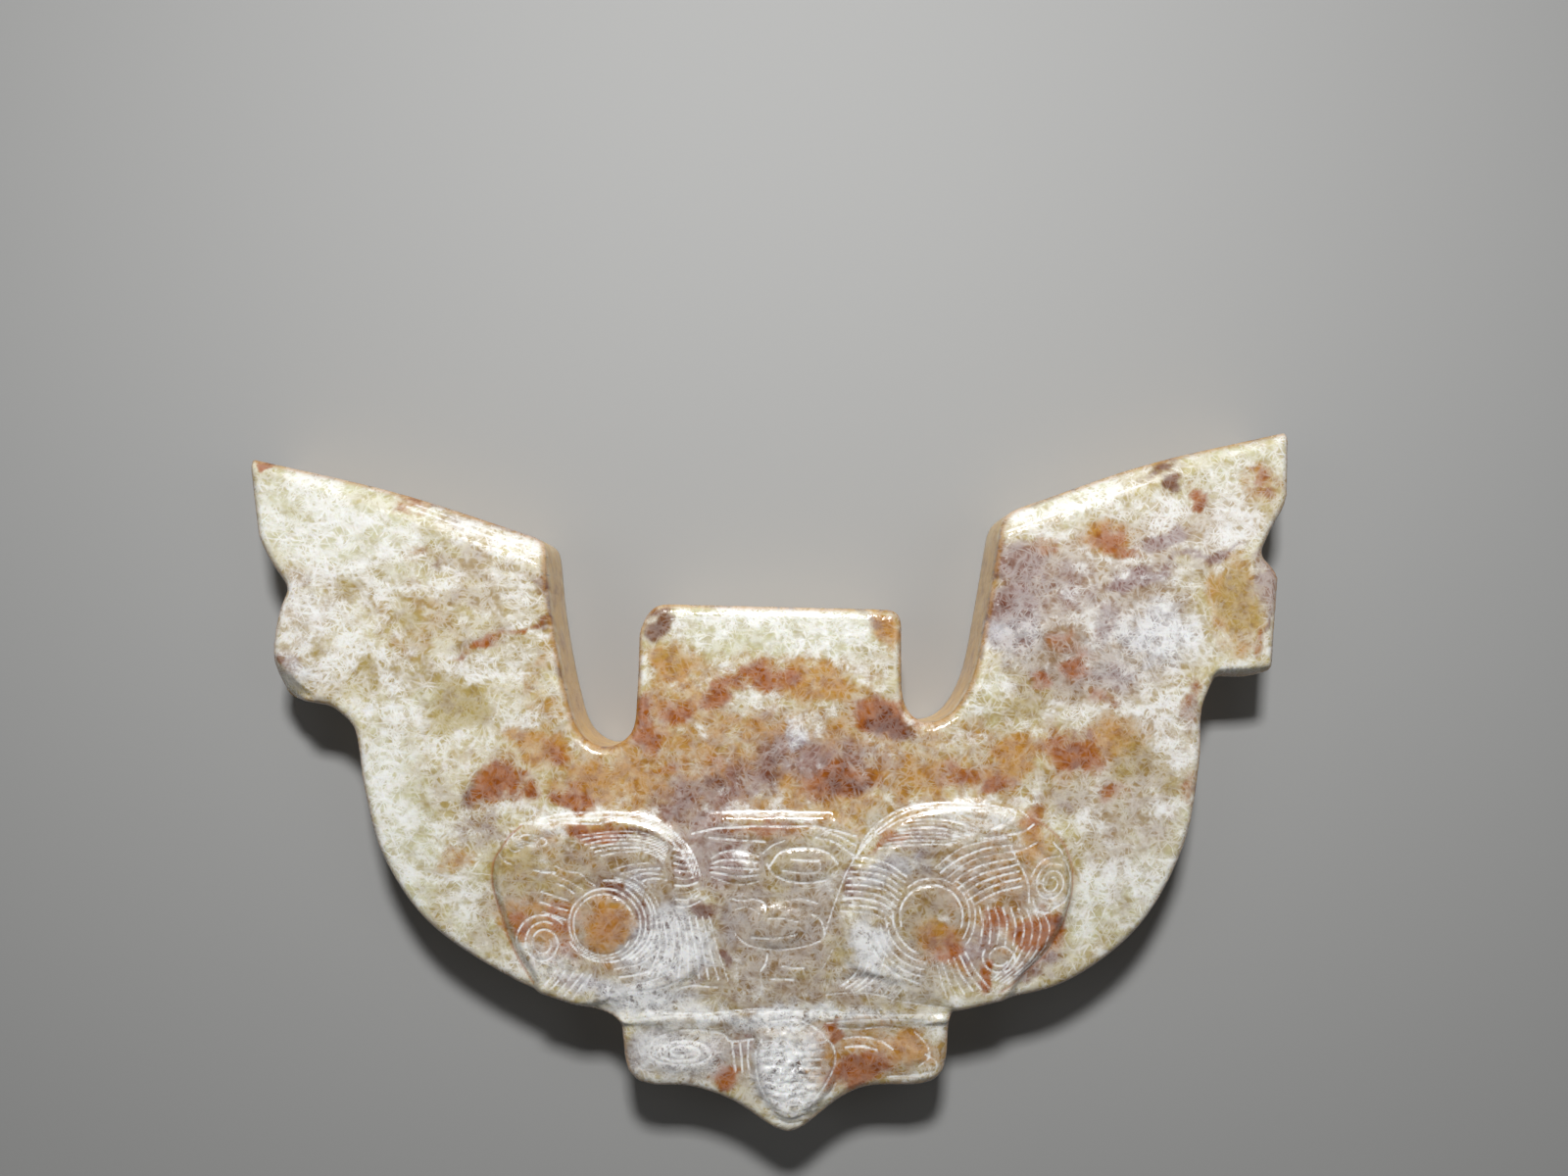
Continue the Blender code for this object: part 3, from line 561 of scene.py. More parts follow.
def left_brow_lines():
    """The frosted band over the left eye, its white partly a painted highlight along its raised upper edge,
    and the strokes under it.
    """
    # The band's white lines are cut lines that also paint the highlight on its upward-facing top edge
    band = comb(
        smooth_line(
            (-14.3, 17.8), (-12.0, 18.4), (-10.0, 18.5), (-8.8, 18.5), (-7.4, 18.3), (-6.2, 17.9),
            (-5.1, 17.1), (-4.3, 16.1), (-3.9, 14.9),
        ),
        smooth_line(
            (-13.3, 17.9), (-11.5, 17.95), (-9.8, 17.9), (-8.8, 18.1), (-7.6, 17.95), (-6.3, 17.5),
            (-5.4, 16.8), (-4.7, 15.9), (-4.3, 14.9),
        ),
        3,
    )
    forehead = comb(
        smooth_line((-11.0, 17.2), (-9.2, 17.45), (-7.6, 17.45), (-6.4, 17.1), (-5.7, 16.6)),
        smooth_line((-9.6, 16.1), (-8.6, 16.3), (-7.4, 16.35), (-6.5, 16.1), (-6.0, 15.7)),
        6,
    )
    temple = comb(
        smooth_line((-5.4, 16.5), (-4.9, 16.35), (-4.4, 16.3)),
        smooth_line((-5.3, 13.2), (-4.6, 13.2), (-3.9, 13.5)),
        9,
    )
    under = comb(
        smooth_line((-9.0, 15.3), (-7.8, 15.6), (-6.4, 15.7)),
        smooth_line((-7.3, 14.6), (-6.6, 14.8), (-5.8, 14.7)),
        4,
    )
    return band + forehead + temple + under


def left_eye_lines():
    """The left eye's rings, its rays, the scrolls beside it and the hatching below."""
    rings = [
        arc((-9.4, 12.15), 1.72, 1.75, 20, 330),
        arc((-9.35, 12.2), 2.05, 2.0, -170, 200),
        arc((-9.3, 12.25), 2.3, 2.25, -150, 60),
    ]
    crescent = comb(arc((-9.2, 12.3), 2.55, 2.4, -60, 95), arc((-9.1, 12.3), 3.0, 2.8, -50, 70), 3)
    rays = [
        smooth_line((-12.2, 15.5), (-11.5, 15.2), (-10.8, 15.1), (-10.4, 14.7), (-9.95, 14.35)),
        smooth_line((-12.3, 15.05), (-11.4, 14.6), (-10.6, 14.15)),
        smooth_line((-12.1, 14.5), (-11.6, 14.3), (-11.1, 13.95)),
        smooth_line((-13.0, 14.05), (-12.2, 13.8), (-11.5, 13.5)),
        smooth_line((-13.0, 13.45), (-12.3, 13.2), (-11.5, 12.95)),
        smooth_line((-12.9, 12.85), (-12.2, 12.65), (-11.6, 12.4)),
        smooth_line((-13.4, 15.25), (-12.8, 15.15), (-12.2, 15.15)),
    ]
    corner = [
        spiral((-13.55, 17.0), 1.2, 0.42, 1.9, tilt=-8, start=150),
        smooth_line((-14.5, 17.5), (-14.95, 17.1), (-14.9, 16.6), (-14.5, 16.3), (-14.2, 16.4)),
        smooth_line((-14.2, 17.3), (-14.6, 17.0), (-14.5, 16.7), (-14.0, 16.55)),
        smooth_line((-15.5, 16.2), (-15.1, 15.8), (-14.7, 15.6)),
    ]
    swirl = [
        spiral((-12.85, 11.1), 1.15, 1.25, 1.9, start=60, inner=0.35),
        arc((-12.9, 11.2), 1.5, 1.5, 40, 210),
    ]
    foot = comb(
        smooth_line((-12.1, 9.6), (-12.4, 9.1), (-12.9, 8.6)),
        smooth_line((-10.1, 9.3), (-10.7, 8.6), (-11.2, 7.9)),
        5,
    )
    cheek = comb(
        smooth_line((-6.8, 12.6), (-6.6, 11.0), (-7.4, 9.4)),
        smooth_line((-3.4, 12.6), (-2.9, 10.6), (-2.3, 8.9)),
        10,
    )
    chin = comb(
        smooth_line((-8.8, 9.6), (-7.4, 9.9), (-6.2, 10.8)),
        smooth_line((-8.0, 8.3), (-6.2, 8.5), (-5.0, 9.0)),
        4,
    )
    return rings + crescent + rays + corner + swirl + foot + cheek + chin


def right_brow_lines():
    """The frosted band over the right eye, its white partly a painted highlight along its raised upper edge,
    its hook, and the arcs under it.
    """
    # The band's white lines are cut lines that also paint the highlight on its upward-facing top edge
    band = comb(
        smooth_line(
            (5.0, 15.9), (5.3, 16.7), (6.0, 17.6), (7.0, 18.4), (8.2, 18.9), (9.6, 19.05),
            (11.2, 19.05), (12.7, 18.9), (14.1, 18.65),
        ),
        smooth_line(
            (5.2, 16.2), (5.8, 16.9), (6.5, 17.4), (7.4, 18.0), (8.6, 18.45), (9.8, 18.6),
            (11.2, 18.6), (12.6, 18.6), (13.9, 18.5),
        ),
        3,
    )
    hook = [
        smooth_line((14.2, 18.65), (14.05, 18.3), (13.5, 17.95), (12.7, 17.6)),
        smooth_line((15.2, 17.85), (14.6, 17.5), (13.9, 17.3), (13.0, 17.15), (12.1, 17.05)),
        smooth_line((14.3, 18.7), (14.6, 18.5), (14.9, 18.2)),
        smooth_line((10.9, 18.5), (11.6, 18.25), (12.4, 18.1)),
    ]
    forehead = comb(
        smooth_line((8.0, 18.1), (9.4, 18.2), (10.8, 18.0), (12.0, 17.5)),
        smooth_line((6.3, 16.5), (7.8, 16.7), (9.2, 16.75), (10.4, 16.7)),
        7,
    )
    temple = comb(
        smooth_line((4.8, 15.9), (5.8, 15.9), (6.9, 15.6), (7.9, 14.9)),
        smooth_line((4.1, 12.9), (5.2, 12.9), (6.2, 12.7), (6.9, 12.2)),
        9,
    )
    fan = comb(
        smooth_line((9.5, 15.4), (10.3, 16.1), (11.2, 16.6), (12.5, 16.95), (13.8, 17.1)),
        smooth_line((11.8, 13.3), (12.5, 13.75), (13.4, 14.1), (14.5, 14.4)),
        8,
    )
    return band + hook + forehead + temple + fan


def right_eye_lines():
    """The right eye's rings, the strokes round it and the scrolls beside it."""
    rings = [
        arc((9.3, 12.65), 1.8, 1.8, -20, 200),
        arc((9.35, 12.6), 2.15, 2.2, -35, 130),
        arc((9.4, 12.6), 2.4, 2.45, -40, 60),
        arc((9.3, 12.7), 2.2, 2.3, 175, 250),
    ]
    lower_left = comb(arc((9.3, 12.6), 2.6, 2.6, 178, 262), arc((9.5, 12.6), 4.0, 3.9, 200, 258), 4)
    outer = comb(
        smooth_line((12.0, 13.2), (12.2, 12.2), (12.1, 11.1)),
        smooth_line((15.6, 13.0), (16.0, 12.0), (15.8, 10.9)),
        9,
    )
    edge_strokes = comb(
        smooth_line((14.2, 10.9), (13.7, 9.9), (12.7, 9.0)),
        smooth_line((16.3, 10.9), (15.3, 9.8), (13.8, 8.7)),
        6,
    )
    foot = comb(
        smooth_line((9.6, 9.8), (9.9, 8.8), (10.2, 8.0)),
        smooth_line((11.2, 10.6), (11.8, 9.5), (12.6, 8.6)),
        6,
    )
    fan_foot = comb(
        smooth_line((5.3, 10.3), (5.1, 9.5), (4.6, 8.9), (4.1, 8.6)),
        smooth_line((6.6, 10.3), (6.3, 9.4), (5.8, 8.8), (5.1, 8.3)),
        4,
    )
    scrolls = [
        spiral((16.15, 14.55), 0.95, 1.15, 2.1, tilt=-20, start=80, inner=0.25),
        smooth_line((15.0, 14.9), (15.4, 15.6), (16.0, 15.95), (16.6, 16.05)),
        smooth_line(
            (15.1, 13.7), (15.3, 13.0), (15.8, 12.8), (16.2, 13.0), (17.0, 13.6), (17.3, 14.5),
            (17.2, 15.4), (16.8, 16.2), (16.3, 16.8),
        ),
        smooth_line((13.8, 16.6), (14.3, 15.6), (14.8, 14.6), (14.9, 13.4)),
        smooth_line((13.9, 16.35), (14.6, 16.45), (15.3, 16.8)),
        spiral((13.25, 10.25), 1.05, 0.95, 1.5, start=150, inner=0.4),
    ]
    return rings + lower_left + outer + edge_strokes + foot + fan_foot + scrolls


def face_lines():
    """The forehead's bar, its white lines partly a painted highlight along its raised upper edge, the
    volutes, the nose and the mouth between the panels.
    """
    # The bar's white lines are cut lines that also paint the highlight on its upward-facing top edge
    bar = comb(
        smooth_line((-3.3, 18.55), (0.2, 18.62), (3.6, 18.5)),
        smooth_line((-2.3, 18.36), (0.2, 18.3), (2.6, 18.36)),
        4,
    )
    left_volute = comb(
        smooth_line((-3.3, 15.9), (-2.6, 16.25), (-1.6, 16.3), (-0.6, 16.0)),
        smooth_line((-3.3, 14.85), (-2.3, 14.5), (-1.4, 14.42), (-0.6, 14.6)),
        5,
    )
    return bar + left_volute + [
        smooth_line(
            (-4.4, 17.3), (-3.0, 17.6), (-1.8, 17.72), (0.0, 17.74), (1.4, 17.7), (2.6, 17.75),
            (3.6, 17.55), (5.0, 17.15),
        ),
        smooth_line((-3.4, 17.1), (-2.2, 17.0), (-0.2, 16.85)),
        smooth_line((2.7, 17.1), (3.8, 16.8), (4.9, 16.1)),
        smooth_line((3.1, 17.5), (4.2, 17.1), (5.0, 16.6)),
        smooth_line((-0.9, 15.8), (-0.75, 15.4), (-1.1, 15.1)),
        smooth_line((-0.3, 16.2), (0.3, 16.7), (0.9, 16.95)),
        smooth_line(
            (0.1, 15.5), (0.6, 16.2), (1.3, 16.45), (2.2, 16.5), (3.0, 16.35), (3.6, 16.05), (3.95, 15.6)
        ),
        smooth_line((-0.1, 15.6), (0.15, 15.15), (0.6, 14.8), (1.3, 14.58), (2.2, 14.5), (3.3, 14.65)),
        smooth_line((1.3, 15.9), (2.1, 15.78), (2.9, 15.8)),
        smooth_line((0.8, 15.2), (1.6, 15.1), (2.5, 15.1), (2.95, 15.3), (2.95, 15.7)),
        smooth_line((5.2, 16.3), (4.5, 15.2), (3.95, 13.8), (3.55, 12.7), (3.3, 11.9)),
        smooth_line((-2.2, 13.6), (-1.6, 13.5), (-0.8, 13.6), (-0.2, 13.3), (-0.2, 12.8)),
        smooth_line((-1.9, 13.0), (-1.2, 13.1), (-0.5, 12.75)),
        smooth_line((1.0, 13.5), (1.9, 13.6), (2.8, 13.3)),
        smooth_line((0.0, 12.5), (0.8, 12.5), (1.8, 12.3)),
        smooth_line((-1.0, 11.4), (0.0, 11.35), (0.7, 11.42), (1.6, 11.6)),
        smooth_line(
            (-1.9, 11.6), (-1.4, 11.1), (-0.8, 10.8), (0.1, 10.68), (1.1, 10.7), (2.1, 10.87), (3.0, 11.2)
        ),
        smooth_line((2.5, 12.7), (3.0, 12.3), (3.2, 11.6), (3.0, 11.2)),
        smooth_line((-0.05, 10.45), (-0.15, 9.9), (-0.45, 9.5)),
        smooth_line((0.8, 9.75), (1.5, 9.66), (2.0, 9.62)),
        smooth_line((0.1, 9.02), (1.4, 8.98)),
        smooth_line((-0.5, 9.3), (-0.4, 8.6), (-0.55, 8.0), (-0.9, 7.6)),
        smooth_line((3.65, 10.7), (3.35, 10.1), (3.0, 9.5)),
        smooth_line((-5.1, 8.5), (-4.2, 8.62), (-2.9, 8.5)),
        smooth_line((3.3, 8.1), (5.0, 8.25), (6.4, 8.1), (7.4, 7.75), (9.0, 7.5), (10.6, 7.3)),
    ]


def tab_lines():
    """The worn double band, the beak's crusted ridges and the faint scrolls beside it."""
    ridges = comb(
        smooth_line((-0.5, 5.4), (0.6, 5.6), (1.9, 5.3), (3.3, 5.5)),
        smooth_line((0.0, 2.3), (0.8, 2.0), (1.6, 2.3), (2.5, 2.0)),
        8,
    )
    tip = comb(
        smooth_line((-0.3, 2.0), (0.5, 1.5), (1.3, 1.3), (2.1, 1.5)),
        smooth_line((0.5, 0.85), (1.2, 0.6), (1.9, 0.7)),
        3,
    )
    left_strokes = comb(
        smooth_line((-2.1, 5.3), (-2.0, 4.4), (-1.9, 3.6)),
        smooth_line((-1.2, 5.4), (-1.2, 4.4), (-1.1, 3.6)),
        3,
    )
    return ridges + tip + left_strokes + [
        smooth_line(
            (-7.8, 6.7), (-5.5, 6.88), (-3.4, 6.8), (-1.2, 7.1), (0.6, 7.15), (3.0, 7.0), (5.5, 6.95),
            (7.2, 6.9), (9.9, 7.0),
        ),
        smooth_line((-6.0, 7.1), (-3.6, 7.0), (-1.2, 7.25), (1.6, 7.2), (4.0, 7.15)),
        smooth_line((3.3, 6.45), (4.8, 6.6), (6.4, 6.7), (9.4, 6.55)),
        smooth_line((-0.9, 6.9), (-0.4, 6.5), (0.05, 6.1)),
        smooth_line((0.2, 6.6), (1.6, 6.7), (2.6, 6.25), (3.1, 5.9)),
        smooth_line((-0.4, 5.6), (-0.75, 4.6), (-0.6, 3.3), (-0.2, 2.3), (0.3, 1.5)),
        smooth_line((3.1, 5.9), (3.7, 5.1), (3.8, 4.2), (3.3, 3.1), (2.6, 2.2), (2.0, 1.4)),
        arc((2.2, 2.6), 0.45, 0.45, 0, 330),
        smooth_line((3.85, 2.95), (3.7, 2.6), (3.45, 2.3)),
        smooth_line((-5.1, 6.0), (-3.6, 6.0), (-2.6, 5.75), (-2.2, 5.4), (-0.9, 5.5)),
        smooth_line((-7.0, 4.8), (-6.5, 5.5), (-5.4, 5.9)),
        spiral((-4.95, 4.8), 1.95, 0.8, 2.4, start=200, inner=0.2),
        smooth_line((-7.7, 4.2), (-7.2, 3.7), (-6.3, 3.4)),
        smooth_line((4.0, 6.15), (5.1, 6.1), (6.3, 6.2), (7.6, 6.05)),
        smooth_line((4.3, 5.5), (5.4, 5.6), (6.5, 5.35), (7.1, 4.95)),
        smooth_line((4.4, 5.0), (5.4, 5.1), (6.2, 4.9)),
        smooth_line((8.4, 5.9), (9.1, 5.1), (9.2, 4.4), (8.6, 3.9)),
        smooth_line((9.0, 4.6), (9.6, 4.2), (9.5, 3.6), (8.4, 3.42), (6.8, 3.3)),
    ]


def panel_edges():
    """The cut lines round the outer sides of the two raised eye panels, along which a painted shadow of their
    edge is laid.
    """
    return [
        smooth_line(
            (-13.5, 8.7), (-14.3, 10.0), (-15.0, 11.5), (-15.4, 12.8), (-15.75, 13.9), (-15.9, 14.9),
            (-15.8, 15.7), (-15.3, 16.5), (-14.8, 17.2), (-14.2, 17.75),
        ),
        smooth_line(
            (14.9, 18.2), (15.9, 17.7), (16.7, 17.0), (17.2, 16.2), (17.45, 15.2), (17.4, 14.0),
            (17.1, 12.8), (16.7, 11.7), (16.2, 10.8), (15.5, 10.0), (14.8, 9.4), (14.0, 8.8), (13.3, 8.35),
        ),
    ]


def crease_lines():
    """The creases where the prongs' faces turn over to the bevels along their tops, along which a painted
    highlight is laid.
    """
    return [
        smooth_line((-21.0, 36.15), (-18.4, 35.2), (-15.6, 34.2), (-13.3, 33.3)),
        smooth_line((-20.6, 36.3), (-18.2, 35.45), (-15.6, 34.55), (-13.5, 33.75)),
        smooth_line((13.6, 34.6), (16.4, 35.6), (19.4, 36.6), (22.2, 37.6)),
        smooth_line((-5.6, 29.6), (-2.0, 29.75), (2.0, 29.75), (5.8, 29.6)),
    ]


def hand_drawn(lines):
    """The same lines, each wandering a little as hand work does."""
    drawn = []
    for index, line in enumerate(lines):
        spots = [Vector((x * LINE_WAVES, y * LINE_WAVES, index * WANDER_APART)) for x, y in line]
        drawn.append(line + LINE_WANDER * np.array([noise.noise_vector(spot)[:2] for spot in spots]))
    return drawn


def white_lines():
    """Every fine cut line that has weathered white; on the brows and the forehead bar the white is partly a
    painted highlight.
    """
    left = left_brow_lines() + left_eye_lines()
    right = right_brow_lines() + right_eye_lines()
    return hand_drawn(left + right + face_lines() + tab_lines())


def cut_lines():
    """Every line that is cut into the front."""
    return white_lines() + hand_drawn(panel_edges())


def distance_to_line(points, line):
    """How far each point is from the nearest stretch of a line."""
    starts = line[:-1]
    runs = np.diff(line, axis=0)
    lengths = np.maximum((runs**2).sum(axis=1), 1e-12)
    offset = points[:, None, :] - starts[None]
    along = np.clip((offset * runs).sum(axis=2) / lengths, 0, 1)
    gap = offset - along[:, :, None] * runs
    return np.sqrt((gap**2).sum(axis=2).min(axis=1))


def cut_profile(points, lines, width):
    """How deep in a cut line each point is, from 0 beside the lines to 1 on the deepest ones' middles."""
    cut = np.zeros(len(points))
    for index, line in enumerate(lines):
        low, high = line.min(axis=0) - width, line.max(axis=0) + width
        near = np.flatnonzero(((points > low) & (points < high)).all(axis=1))
        if len(near):
            change = noise.noise(Vector((index * PRESS_APART, 0.5, 0.5)))
            press = LINE_PRESS + LINE_PRESS_CHANGE * change
            distance = distance_to_line(points[near], line)
            cut[near] = np.maximum(cut[near], np.clip(1 - distance / width, 0, 1) * min(1.0, press))
    return cut


def read_outline(solid):
    """The ornament's outline as a closed wire, cut from its solid and divided evenly."""
    bm = bmesh.new()
    bm.from_mesh(solid.data)
    bmesh.ops.remove_doubles(bm, verts=bm.verts, dist=SAME_PLACE * MILLIMETRE)
    bmesh.ops.bisect_plane(
        bm,
        geom=bm.verts[:] + bm.edges[:] + bm.faces[:],
        plane_co=(0, 0, OUTLINE_READ_HEIGHT * MILLIMETRE),
        plane_no=(0, 0, 1),
        clear_inner=True,
        clear_outer=True,
    )
    bmesh.ops.dissolve_limit(bm, angle_limit=math.radians(LEAST_BEND), verts=bm.verts, edges=bm.edges)
    longest = max(edge.calc_length() for edge in bm.edges)
    step = OUTLINE_STEP * MILLIMETRE
    for cuts in range(math.ceil(longest / step), 0, -1):
        edges = [edge for edge in bm.edges if math.ceil(edge.calc_length() / step) == cuts + 1]
        if edges:
            bmesh.ops.subdivide_edges(bm, edges=edges, cuts=cuts)
    for _ in range(OUTLINE_SMOOTHING):
        bmesh.ops.smooth_vert(bm, verts=bm.verts, factor=0.5, use_axis_x=True, use_axis_y=True)
    return bm


def geometry_of(faces):
    """The faces with their edges and corners, as an operator takes them."""
    parts = dict.fromkeys(faces)
    for face in faces:
        parts.update(dict.fromkeys(face.edges))
        parts.update(dict.fromkeys(face.verts))
    return list(parts)


def cut_across(bm, faces, axis, cuts):
    """Cuts faces at rising places along an axis and returns all that come of them."""
    done = []
    rest = list(faces)
    snap = CUT_SNAP * MILLIMETRE
    normal = Vector((0, 0, 0))
    normal[axis] = 1
    for cut in cuts:
        if not rest:
            break
        made = bmesh.ops.bisect_plane(
            bm, geom=geometry_of(rest), dist=snap, plane_co=normal * cut, plane_no=normal
        )
        faces_now = [item for item in made["geom"] if isinstance(item, bmesh.types.BMFace)]
        rest = [face for face in faces_now if face.calc_center_bounds()[axis] > cut]
        done += [face for face in faces_now if face.calc_center_bounds()[axis] <= cut]
    return done + rest


def even_cuts(axis, cell):
    """Evenly spaced places for cuts over the whole ornament, in metres."""
    first, last = (math.ceil(end[axis] / cell) for end in (SOLID_LOW, SOLID_HIGH))
    return [index * cell for index in range(first, last)]


def sorted_by_strip(faces, axis, cell):
    """Groups faces by the strip that they lie in."""
    strips = {}
    for face in faces:
        strips.setdefault(math.floor(face.calc_center_bounds()[axis] / cell), []).append(face)
    return strips


def cut_finer(bm, faces, cell):
    """Cuts some cells into smaller ones, strip by strip."""
    for axis in (0, 1):
        made = []
        for strip, members in sorted_by_strip(faces, axis, cell).items():
            cuts = [(strip + part / FINE_PARTS) * cell for part in range(1, FINE_PARTS)]
            made += cut_across(bm, members, axis, cuts)
        faces = made


def flat_places(bm):
    """Every corner's place in millimetres, seen from the front."""
    return np.array([vertex.co[:2] for vertex in bm.verts]) / MILLIMETRE


def front_height(tree, x, y):
    """The height of the solid's front over a place, or None beside it. All in metres."""
    hit = tree.ray_cast(Vector((x, y, 1.0)), Vector((0, 0, -1)))[0]
    return hit.z if hit else None


def wanted_fine(bm, tree):
    """The cells that need smaller ones: those by cut lines and those where the solid bends."""
    heights = {vertex: front_height(tree, *vertex.co[:2]) for vertex in bm.verts}
    centres = np.array([face.calc_center_bounds()[:2] for face in bm.faces])
    near_lines = cut_profile(centres / MILLIMETRE, cut_lines() + crease_lines(), LINE_REACH) > 0
    chosen = []
    for face, centre, near in zip(bm.faces, centres, near_lines):
        around = [heights[vertex] for vertex in face.verts]
        middle = front_height(tree, *centre)
        if near or middle is None or None in around:
            chosen.append(face)
        elif abs(sum(around) / len(around) - middle) > LEAST_BULGE * MILLIMETRE:
            chosen.append(face)
    return chosen


def rim_neighbours(vertex):
    """The two outline corners beside an outline corner."""
    return [edge.other_vert(vertex) for edge in vertex.link_edges if edge.is_boundary]


def rim_directions(bm):
    """Each outline corner with its unit direction into the stone."""
    sideways = {}
    turning = 0.0
    for edge in bm.edges:
        if edge.is_boundary:
            first = edge.link_loops[0].vert
            last = edge.other_vert(first)
            run = last.co - first.co
            turning += first.co.x * last.co.y - last.co.x * first.co.y
            for vertex in (first, last):
                sideways[vertex] = sideways.get(vertex, Vector()) + Vector((-run.y, run.x, 0))
    way = 1 if turning > 0 else -1
    directions = {vertex: (side * way).normalized() for vertex, side in sideways.items()}
    for _ in range(DIRECTION_SMOOTHING):
        directions = {
            vertex: sum((directions[other] for other in rim_neighbours(vertex)), direction * 2).normalized()
            for vertex, direction in directions.items()
        }
    return directions


def lift_front(bm, tree):
    """Moves the flat cells up to the solid's front and softens its facets."""
    rim = rim_directions(bm)
    inside = RIM_INSIDE * MILLIMETRE
    for vertex in bm.verts:
        if vertex in rim:
            reach = vertex.co + rim[vertex] * inside
            height = front_height(tree, *reach[:2])
            drop = RIM_DROP * MILLIMETRE
        else:
            height = front_height(tree, *vertex.co[:2])
            drop = 0.0
        if height is None:
            height = tree.find_nearest(Vector((*vertex.co[:2], SOLID_HIGH.z)))[0].z
        vertex.co.z = height - drop
    inner = [vertex for vertex in bm.verts if vertex not in rim]
    for _ in range(HEIGHT_SMOOTHING):
        bmesh.ops.smooth_vert(bm, verts=inner, factor=0.5, use_axis_z=True)
    points = flat_places(bm)
    for across, height, half_width, half_height, times in WORN_FORMS.values():
        away = (points - place(across, height)) / (half_width, half_height)
        worn = (away**2).sum(axis=1) < 1
        soft = [vertex for vertex, is_worn in zip(bm.verts, worn) if is_worn and vertex not in rim]
        for _ in range(times):
            bmesh.ops.smooth_vert(bm, verts=soft, factor=0.5, use_axis_z=True)


def hand_finish(bm, settings):
    """Cuts the fine lines into the front and leaves the slight unevenness of hand polishing."""
    points = flat_places(bm)
    cut = cut_profile(points, cut_lines(), settings.line_width / MILLIMETRE)
    from_beak = np.hypot(*((points - place(*CRUST_PLACE)) / CRUST_HALF_SIZE).T)
    for vertex, point, depth, away in zip(bm.verts, points, cut, from_beak):
        spot = Vector((*point, 0))
        swell = noise.noise(spot * POLISH_WAVES) * settings.unevenness
        swell -= depth * settings.line_depth
        if away < 1:
            swell += (1 - away) * settings.beak_crust * noise.fractal(spot * CRUST_BUMPS, *CRUST_LAYERS)
        vertex.co.z += swell


def even_rim(bm):
    """Evens the outline's corners along it, so that the sides shade smoothly."""
    rim = {vertex: rim_neighbours(vertex) for vertex in bm.verts if vertex.is_boundary}
    for _ in range(RIM_SMOOTHING):
        moved = {vertex: (vertex.co * 2 + near[0].co + near[1].co) / 4 for vertex, near in rim.items()}
        for vertex, place_now in moved.items():
            vertex.co = place_now


def close_body(bm):
    """Draws the sides down from the rim and closes the back."""
    even_rim(bm)
    rim = [edge for edge in bm.edges if edge.is_boundary]
    drawn_in = rim_directions(bm)
    previous = 0.0
    for height, inset in SIDE_RINGS:
        made = bmesh.ops.extrude_edge_only(bm, edges=rim)["geom"]
        ring = [item for item in made if isinstance(item, bmesh.types.BMVert)]
        moved = {}
        for vertex in ring:
            beside = [edge.other_vert(vertex) for edge in vertex.link_edges]
            above = next(other for other in beside if other in drawn_in)
            moved[vertex] = drawn_in[above]
            vertex.co += drawn_in[above] * (inset - previous) * MILLIMETRE
            vertex.co.z = height * MILLIMETRE
        drawn_in = moved
        previous = inset
        rim = [item for item in made if isinstance(item, bmesh.types.BMEdge) and item.is_boundary]
    back = bmesh.ops.contextual_create(bm, geom=rim)["faces"]
    for axis in (0, 1):
        back = cut_across(bm, back, axis, even_cuts(axis, BACK_CELL * MILLIMETRE))
    bmesh.ops.recalc_face_normals(bm, faces=bm.faces)


def soft_spot(points, across, height, half_width, half_height, turn, strength):
    """How strongly a soft oval stain colours each point, from its full middle to its faded edge."""
    along, up = turned(points - place(across, height), -turn).T
    away = np.hypot(along / half_width, up / half_height)
    share = np.clip((STAIN_END - away) / STAIN_FADE, 0, 1)
    return strength * share * share * (3 - 2 * share)


def lay_attributes(mesh, settings):
    """Writes what the stone's materials read: its stains, some painted glints among them, its sides, its cut
    lines with painted highlights and a painted shadow, and the darker band along its edge.
    """
    count = len(mesh.vertices)
    places = np.zeros(count * 3)
    mesh.vertices.foreach_get("co", places)
    places = places.reshape(-1, 3) / MILLIMETRE
    points = places[:, :2]
    heights = places[:, 2]
    stained = points.copy()
    for far, fineness in STAIN_BENDS:
        bend = np.array([noise.noise_vector(Vector(spot) * fineness)[:2] for spot in places])
        stained += far * bend
    values = {
        name: np.max([soft_spot(stained, *spot) for spot in spots], axis=0)
        for name, spots in STAINS.items()
    }
    top_ring, chamfer_ring = SIDE_RINGS[0][0], SIDE_RINGS[-2][0]
    side = (heights < top_ring + RING_MARGIN) & (heights > chamfer_ring - RING_MARGIN)
    values["side"] = side.astype(float)
    front = heights > OUTLINE_READ_HEIGHT
    width = settings.line_width / MILLIMETRE
    white = cut_profile(points, white_lines(), width)
    # The crease lines add a painted highlight to the weathered white cut lines
    values["white_line"] = np.maximum(white, cut_profile(points, crease_lines(), width)) * front
    # A painted shadow along the cut lines round the raised eye panels' outer edges
    values["dark_line"] = cut_profile(points, hand_drawn(panel_edges()), width) * front
    outline = points[np.abs(heights - top_ring) < RING_MARGIN]
    near = KDTree(len(outline))
    for index, point in enumerate(outline):
        near.insert((*point, 0), index)
    near.balance()
    distance = np.array([near.find((*point, 0))[2] for point in points])
    values["edge"] = np.clip(1 - distance / EDGE_BAND, 0, 1) * (heights > top_ring + RING_MARGIN)
    for name, value in values.items():
        attribute = mesh.attributes.new(name, "FLOAT", "POINT")
        attribute.data.foreach_set("value", value.astype(np.float32))


def put_in_scene(name, data):
    """A new object in the scene."""
    item = bpy.data.objects.new(name, data)
    bpy.context.scene.collection.objects.link(item)
    return item


